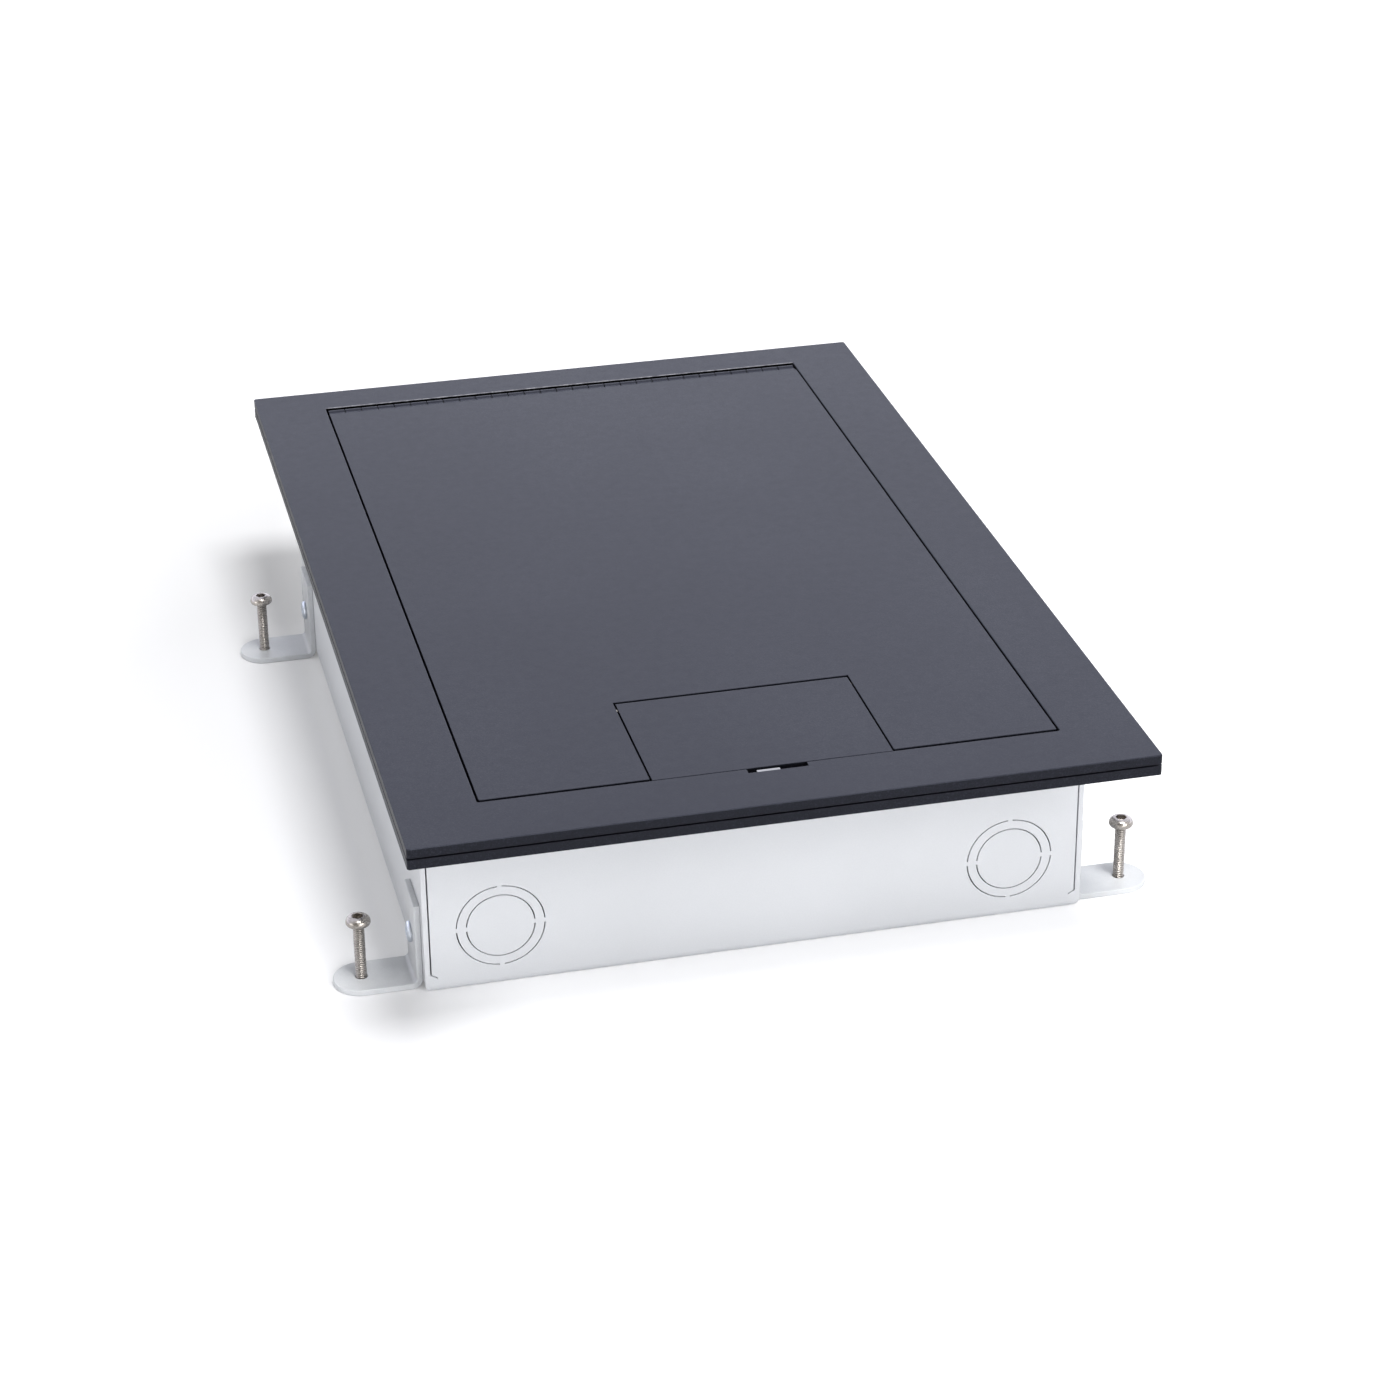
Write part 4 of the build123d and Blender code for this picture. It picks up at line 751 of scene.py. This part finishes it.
def panHeadRings(radius, look):
    height, edge = look["height"], look["edge"]
    rings = [("round", radius * headLook["hub"], 0.0), ("round", radius * headLook["foot"], 0.0),
             ("round", radius, height * headLook["footRise"]), ("round", radius, edge)]
    rim = look["drive"][1][0] * headLook["rim"]
    rings += domeRings(radius, edge, rim, height, headLook["domeSteps"])
    return rings + recessRings(look["drive"], height, look["recess"])


def flatHeadRings(radius, look):
    shank, height, fall = look["shank"], look["height"], headLook["rimFall"]
    rings = [("round", shank * headLook["neck"], -height), ("round", shank, -height),
             ("round", radius - headLook["chamfer"], -headLook["chamferFall"]),
             ("round", radius, -fall), ("round", radius - fall, 0.0)]
    return rings + recessRings(look["drive"], 0.0, look["recess"])


levelingHead = addObject("levelingHead", turnedMesh("levelingHead", socketHeadRings(levelingScrews)))
for corner, seed in zip(corners, levelingScrews["seeds"]):
    node = "leveling_screw_" + corner
    low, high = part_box(node)
    seat = high.z - levelingScrews["height"]
    length = seat - low.z
    middle = (low + high) / 2
    piece = growScrews("levelingScrew_" + corner, [((middle.x, middle.y, seat), (0, 0, 1))], levelingHead,
                       levelingScrews, length, length - screwLook["runOut"] * levelingScrews["pitch"],
                       levelingScrews["threadDepth"], seed)
    finishPiece(piece, node, node)
bpy.data.objects.remove(levelingHead)
print("levelling screws made")


crossDrive = ("cross", (mm(1.75), mm(0.42)))      # arm length and half width of the recess
smallCross = ("cross", (mm(1.3), mm(0.33)))
slotDrive = ("slot", (mm(2.2), mm(0.40)))
zinced = {"finish": "zinc", "slot": "bright_steel"}
flatScrew = {"kind": "flat", "height": mm(1.75), "shank": mm(2.0), "pitch": mm(0.7), "drive": crossDrive,
             "recess": mm(1.2), **zinced}
smallPan = {"kind": "pan", "height": mm(1.8), "edge": mm(0.7), "shank": mm(1.5), "pitch": mm(0.5),
            "drive": smallCross, "recess": mm(1.1), **zinced}
fasteners = {
    "foot_screws": {"kind": "pan", "height": mm(1.4), "edge": mm(0.5), "shank": mm(2.0), "pitch": mm(0.7),
                    "drive": crossDrive, "recess": mm(0.9), **zinced, "aim": "outX", "seed": 4},
    "cover_screws": {**flatScrew, "aim": "up", "seed": 9},
    "trim_screws": {**flatScrew, "aim": "down", "seed": 12},
    "compartment_screws": {**smallPan, "aim": "up", "seed": 2},
    "plate_screws": {**smallPan, "aim": "front", "seed": 7},
    "strap_screws": {**smallPan, "aim": "front", "seed": 15},
    "terminal_screws": {"kind": "pan", "height": mm(1.8), "edge": mm(0.8), "shank": mm(2.0), "pitch": mm(0.8),
                        "drive": slotDrive, "recess": mm(1.0), "finish": "brass", "slot": "brass",
                        "aim": "outZ", "seed": 6},
}
wayOut = {"up": (0, 0, 1), "down": (0, 0, -1), "front": (0, -1, 0)}


def headWay(aim, low, high, middle):
    if aim == "outX":
        return (1, 0, 0) if low.x > 0 else (-1, 0, 0)
    if aim == "outZ":
        return (0, 0, 1) if (low.z + high.z) / 2 > middle.z else (0, 0, -1)
    return wayOut[aim]


for node, look in fasteners.items():
    nodeLow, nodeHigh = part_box(node)
    nodeMiddle = (nodeLow + nodeHigh) / 2
    headHeight = look["height"] if look["kind"] == "pan" else 0.0      # a flat head is sunk in its seat
    places = []
    for low, high in looseBoxes(node):
        way = Vector(headWay(look["aim"], low, high, nodeMiddle))
        axis = max(range(3), key=lambda i: abs(way[i]))
        length = high[axis] - low[axis]          # a node's screws are all alike
        radius = max(high[i] - low[i] for i in range(3) if i != axis) / 2
        places.append(((low + high) / 2 + way * (length / 2) - way * headHeight, way))
    rings = panHeadRings(radius, look) if look["kind"] == "pan" else flatHeadRings(radius, look)
    head = addObject(node + "Head", turnedMesh(node + "Head", rings, look["drive"]))
    reach = length - headHeight
    bare = (0.0 if look["kind"] == "pan" else look["height"]) + screwLook["runOut"] * look["pitch"]
    piece = growScrews(node + "Made", places, head, look, reach, reach - bare,
                       look["shank"] * screwLook["depthShare"], look["seed"])
    bpy.data.objects.remove(head)
    finishPiece(piece, "box", node)
    print(node, "made:", len(places))


hinge = {
    "count": 29, "gap": mm(0.25), "pinRadius": mm(1.05), "sheet": mm(0.95),
    "rollStart": -90.0, "rollEnd": -380.0, "arcSteps": 30,       # the sheet goes 290 degrees round the pin
    "tongue": mm(2.6), "overlap": mm(0.1), "endRound": mm(0.09),
}


def knuckleMesh(settings, length, centerY, centerZ, reach):
    inner = settings["pinRadius"]
    outer = inner + settings["sheet"]
    steps = settings["arcSteps"]
    first, last = settings["rollStart"], settings["rollEnd"]
    arc = [math.radians(first + (last - first) * i / steps) for i in range(steps + 1)]
    flat = centerY + reach * settings["tongue"]
    outline = [(flat, centerZ - outer)]
    outline += [(centerY + reach * outer * math.cos(a), centerZ + outer * math.sin(a)) for a in arc]
    outline += [(centerY + reach * inner * math.cos(a), centerZ + inner * math.sin(a)) for a in reversed(arc)]
    outline += [(flat, centerZ - inner)]
    bm = bmesh.new()
    near, far = [[bm.verts.new((x, y, z)) for y, z in outline] for x in (0.0, length)]
    count = len(outline)
    for i in range(count):
        j = (i + 1) % count
        bm.faces.new((near[i], near[j], far[j], far[i]))
    bm.faces.new(list(reversed(near)))
    bm.faces.new(far)
    bmesh.ops.recalc_face_normals(bm, faces=bm.faces)
    rims = [e for e in bm.edges if abs(e.verts[0].co.x - e.verts[1].co.x) < tiny]
    bmesh.ops.bevel(bm, geom=rims, offset=settings["endRound"], segments=1, affect="EDGES",
                    clamp_overlap=True)
    return smoothMeshFrom(bm, "knuckle")


def leafPlateMesh(node, cutY, reach):        # the flat part of a leaf, cut off beside the barrel and closed
    bm = mergedCopy(node)
    bmesh.ops.bisect_plane(bm, geom=bm.verts[:] + bm.edges[:] + bm.faces[:], dist=cutDistance,
                           plane_co=(0, cutY, 0), plane_no=(0, reach, 0), clear_inner=True)
    bmesh.ops.holes_fill(bm, edges=[e for e in bm.edges if e.is_boundary], sides=0)
    return meshFrom(bm, node + "Plate")


def makeHingeTree():
    tree = startTree("hingeTree", {
        "Plate": "Geometry", "Knuckle": "Object", "Count": "Int", "First": "Vector", "Step": "Vector",
        "Finish": "Material"}, "Leaf")
    add = tree.nodes.new
    link = tree.links.new
    given = add("NodeGroupInput")
    row = add("GeometryNodeMeshLine")
    row.mode = "OFFSET"
    link(given.outputs["Count"], row.inputs["Count"])
    link(given.outputs["First"], row.inputs["Start Location"])
    link(given.outputs["Step"], row.inputs["Offset"])
    knuckle = add("GeometryNodeObjectInfo")
    link(given.outputs["Knuckle"], knuckle.inputs["Object"])
    placed = add("GeometryNodeInstanceOnPoints")
    link(row.outputs["Mesh"], placed.inputs["Points"])
    link(knuckle.outputs["Geometry"], placed.inputs["Instance"])
    joined = add("GeometryNodeJoinGeometry")
    link(given.outputs["Plate"], joined.inputs["Geometry"])
    link(placed.outputs["Instances"], joined.inputs["Geometry"])
    finishTree(tree, joined.outputs["Geometry"], given, "Leaf")
    return tree


hingeTree = makeHingeTree()
pinLow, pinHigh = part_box("hinge_pin")
pinMiddle = (pinLow + pinHigh) / 2
lidLow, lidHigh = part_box("lid_plate")
knucklePitch = (lidHigh.x - lidLow.x) / hinge["count"]
knuckleLength = knucklePitch - hinge["gap"]
for node, body, reach, first, count in (("hinge_frame_leaf", "box", 1, 0, (hinge["count"] + 1) // 2),
                                        ("hinge_lid_leaf", "lid", -1, 1, hinge["count"] // 2)):
    knuckle = addObject("knuckle", knuckleMesh(hinge, knuckleLength, pinMiddle.y, pinMiddle.z, reach))
    cutY = pinMiddle.y + reach * (hinge["tongue"] - hinge["overlap"])
    plate = addObject("plate", leafPlateMesh(node, cutY, reach))
    startX = lidLow.x + hinge["gap"] / 2 + first * knucklePitch
    mesh = growMesh(plate, hingeTree, {
        "Knuckle": knuckle, "Count": count, "First": (startX, 0.0, 0.0),
        "Step": (2 * knucklePitch, 0.0, 0.0), "Finish": finishes["coverPaint"]})
    bpy.data.objects.remove(knuckle)
    mesh.name = node + "Rolled"
    finishPiece(addObject(node + "Rolled", mesh), body, node)
print("hinge rolled")


painted = {"segments": 2, "finish": "coverPaint", "slot": "cover_paint"}
bright = {"segments": 2, "finish": "brightTab", "slot": "bright_steel"}
easedPieces = [       # width and segments of the rounding
    {"nodes": ["support_plate"], "width": mm(0.28), **painted},
    {"nodes": ["trim_plate"], "width": mm(0.28), **painted, "finish": "trimPaint"},
    {"nodes": ["lid_plate"], "width": mm(0.20), **painted},
    {"nodes": ["cable_flap"], "width": mm(0.16), **painted},
    {"nodes": feet, "width": mm(0.38), "segments": 3, "finish": "footPaint", "slot": "box_paint"},
    {"nodes": innerSheets, "width": mm(0.15), "segments": 2, "finish": "galvanised", "slot": "inner_steel"},
    {"nodes": ["latch_slider"], "width": mm(0.12), **bright},
    {"nodes": ["flap_hook"], "width": mm(0.10), **bright},
    {"nodes": ["receptacle_front"], "width": mm(0.25), "segments": 3, "finish": "receptaclePlastic",
     "slot": "moulding"},
    {"nodes": ["data_jacks"], "width": mm(0.12), "segments": 2, "finish": "jackPlastic",
     "slot": "jack_plastic"},
]
easing = {
    "flatAngle": math.radians(0.5), "sharpAngle": math.radians(35),
    "smoothDot": math.cos(math.radians(50)),
    "profile": 0.5,               # a round one
    "holeSize": mm(7.0),          # rims of screw holes up to this size stay sharp
}
latchTab = {"lift": mm(0.28), "lean": mm(0.15), "crown": mm(0.05)}      # the thumb tab leans back in its slot


def wideRims(edges):          # edges of the groups that are joined and wide enough, in their old order
    left = set(edges)
    kept = set()
    for first in edges:
        if first not in left:
            continue
        left.discard(first)
        group = [first]
        stack = list(first.verts)
        while stack:
            for edge in stack.pop().link_edges:
                if edge in left:
                    left.discard(edge)
                    group.append(edge)
                    stack += list(edge.verts)
        points = [v.co for e in group for v in e.verts]
        extent = max(max(p[i] for p in points) - min(p[i] for p in points) for i in range(3))
        if extent > easing["holeSize"]:
            kept.update(group)
    return [e for e in edges if e in kept]


def evenNormals(bm, rim):     # broad faces keep an even shade, rounded rims take theirs at the border
    normals = []
    areas = {face: face.calc_area() for face in bm.faces}
    for face in bm.faces:
        for corner in face.loops:
            near = [f for f in corner.vert.link_faces if f.normal.dot(face.normal) > easing["smoothDot"]]
            broad = [f for f in near if not f[rim]] or near or [face]
            normals.append(sum((f.normal * areas[f] for f in broad), Vector()).normalized())
    return normals


def raiseTab(bm, settings):
    top = max(v.co.z for v in bm.verts)
    crown = [v for v in bm.verts if v.co.z > top - settings["crown"]]
    middle = sum(v.co.y for v in crown) / len(crown)
    for vert in crown:
        vert.co.z += settings["lift"]
        if vert.co.y > middle:
            vert.co.y += settings["lean"]


def easeEdges(node, look):
    bm = mergedCopy(node)
    rim = bm.faces.layers.int.new("rim")
    bmesh.ops.dissolve_limit(bm, angle_limit=easing["flatAngle"], verts=bm.verts, edges=bm.edges)
    if node == "latch_slider":
        raiseTab(bm, latchTab)
    sharp = [e for e in bm.edges if len(e.link_faces) == 2 and e.calc_face_angle(0.0) > easing["sharpAngle"]]
    rounded = bmesh.ops.bevel(bm, geom=wideRims(sharp), offset=look["width"], segments=look["segments"],
                              profile=easing["profile"], affect="EDGES", clamp_overlap=True)
    for face in rounded["faces"]:
        face[rim] = 1
    bmesh.ops.triangulate(bm, faces=bm.faces)
    bm.normal_update()
    normals = evenNormals(bm, rim)
    mesh = meshFrom(bm, node + "Eased")
    mesh.shade_smooth()
    mesh.normals_split_custom_set(normals)
    piece = addObject(node + "Eased", mesh)
    paint(piece, look["finish"])
    finishPiece(piece, nodes[node]["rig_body"], node)
    print(node, "eased:", len(mesh.polygons), "faces")


for look in easedPieces:
    for node in look["nodes"]:
        easeEdges(node, look)


# the glow keeps the paper white in front and far out, and is low left of the box, where the shadow lies
floorLook = {"size": 6.0, "drop": 0.0001, "color": (0.83, 0.83, 0.845), "roughness": 0.9, "shine": 0.1,
             "glow": (0.14, 0.62), "radius": (0.21, 0.55),
             "frontGlow": (0.14, 0.42), "leftToRight": (-0.118, -0.075)}


def addSeen(tree, path):      # what the camera sees, straight or through glass
    return addMath(tree, "MAXIMUM", path.outputs["Is Camera Ray"], path.outputs["Is Transmission Ray"])


def makeFloor(settings):
    bpy.ops.mesh.primitive_plane_add(size=settings["size"], location=(0, 0, -settings["drop"]))
    floor = bpy.context.object
    floor.name = "floor"
    material, tree, shader, place = startMaterial("floorPaper")
    shader.inputs["Base Color"].default_value = (*settings["color"], 1.0)
    shader.inputs["Roughness"].default_value = settings["roughness"]
    shader.inputs["Specular IOR Level"].default_value = settings["shine"]
    shader.inputs["Emission Color"].default_value = (1.0, 1.0, 1.0, 1.0)
    distance = tree.nodes.new("ShaderNodeVectorMath")
    distance.operation = "LENGTH"
    tree.links.new(place, distance.inputs[0])
    outward = addRange(tree, distance.outputs["Value"], *settings["glow"], *settings["radius"])
    across = addRange(tree, addParts(tree, place)["X"], *settings["frontGlow"], *settings["leftToRight"])
    seen = addSeen(tree, tree.nodes.new("ShaderNodeLightPath"))
    glow = addMath(tree, "MULTIPLY", seen, addMath(tree, "MAXIMUM", outward, across))
    tree.links.new(glow, shader.inputs["Emission Strength"])
    floor.data.materials.append(material)


worldLook = {
    "light": 0.38, "seen": 1.0,
    "frontToBack": (0.35, 1.0), "depthSpan": (-0.7, 0.3),        # what gloss sees from the front to the back
    "lowToHigh": (1.84, 1.26), "heightSpan": (0.34, 0.50),       # and from the horizon upward
    "leftToRight": (0.97, 1.12), "sideSpan": (0.0, 0.45),        # and from the left to the right
    "color": (0.98, 0.985, 1.0), "frontColor": (1.0, 0.97, 0.94), "backColor": (0.93, 0.955, 1.10),
}


def makeWorld(settings):
    world = bpy.data.worlds.new("studio")
    bpy.context.scene.world = world
    world.use_nodes = True
    tree = world.node_tree
    background = tree.nodes["Background"]
    path = tree.nodes.new("ShaderNodeLightPath")
    glossyRay = path.outputs["Is Glossy Ray"]
    way = addParts(tree, tree.nodes.new("ShaderNodeTexCoord").outputs["Generated"])
    depth = addRange(tree, way["Y"], *settings["frontToBack"], *settings["depthSpan"])
    height = addRange(tree, way["Z"], *settings["lowToHigh"], *settings["heightSpan"])
    across = addRange(tree, way["X"], *settings["leftToRight"], *settings["sideSpan"])
    reflected = addMath(tree, "MULTIPLY", addMath(tree, "MULTIPLY", depth, height), across)
    glossy = addMath(tree, "MULTIPLY", glossyRay, reflected)
    around = addRamp(tree, addRange(tree, way["Y"], 0.0, 1.0, *settings["depthSpan"]),
                     [(0.0, settings["frontColor"]), (1.0, settings["backColor"])])
    tint = addColorMix(tree, glossyRay, around)
    tint.inputs[colorFirst].default_value = (*settings["color"], 1.0)
    tree.links.new(tint.outputs[colorMixed], background.inputs["Color"])
    direct = addRange(tree, addSeen(tree, path), settings["light"], settings["seen"])
    diffuse = addMath(tree, "MULTIPLY", direct, addMath(tree, "SUBTRACT", 1.0, glossyRay))
    tree.links.new(addMath(tree, "ADD", glossy, diffuse), background.inputs["Strength"])


lamps = {
    "keyLamp": {"place": (1.0, -2.25, 1.3), "target": (0, 0, 0.04), "size": 1.5, "power": 28.0},
    "topLamp": {"place": (0.20, -0.8, 2.2), "target": (0, 0, 0.0), "size": 0.7, "power": 37.0},
    "leftFill": {"place": (-1.9, -0.7, 0.45), "target": (-0.1, 0, 0.03), "size": 0.9, "power": 4.0},
    "frontFill": {"place": (0.3, -2.4, 0.3), "target": (0, -0.15, 0.03), "size": 1.0, "power": 7.0},
}


def makeLamp(name, settings):
    data = bpy.data.lights.new(name, "AREA")
    data.shape = "SQUARE"
    data.size = settings["size"]
    data.energy = settings["power"]
    lamp = addObject(name, data)
    lamp.location = settings["place"]
    toward = Vector(settings["target"]) - Vector(settings["place"])
    lamp.rotation_euler = toward.to_track_quat("-Z", "Y").to_euler()


cameraLook = {"place": (-0.2365, -1.05375, 0.5761), "turn": 13.39, "down": 27.19, "roll": -0.57,
              "lens": 88.54, "sensor": 36.0, "nearest": 0.01}


def makeCamera(settings):
    data = bpy.data.cameras.new("photoCamera")
    data.lens = settings["lens"]
    data.sensor_width = settings["sensor"]
    data.sensor_fit = "HORIZONTAL"
    data.clip_start = settings["nearest"]
    camera = addObject("photoCamera", data)
    turn, down, roll = (math.radians(settings[key]) for key in ("turn", "down", "roll"))
    forward = Vector((math.sin(turn) * math.cos(down), math.cos(turn) * math.cos(down), -math.sin(down)))
    aimed = forward.to_track_quat("-Z", "Y").to_matrix().to_4x4()
    camera.matrix_world = Matrix.Translation(settings["place"]) @ aimed @ Matrix.Rotation(roll, 4, "Z")
    bpy.context.scene.camera = camera


makeFloor(floorLook)
makeWorld(worldLook)
for name, settings in lamps.items():
    makeLamp(name, settings)
makeCamera(cameraLook)
bpy.context.scene.view_settings.view_transform = "Standard"
print("floor, light and camera placed")
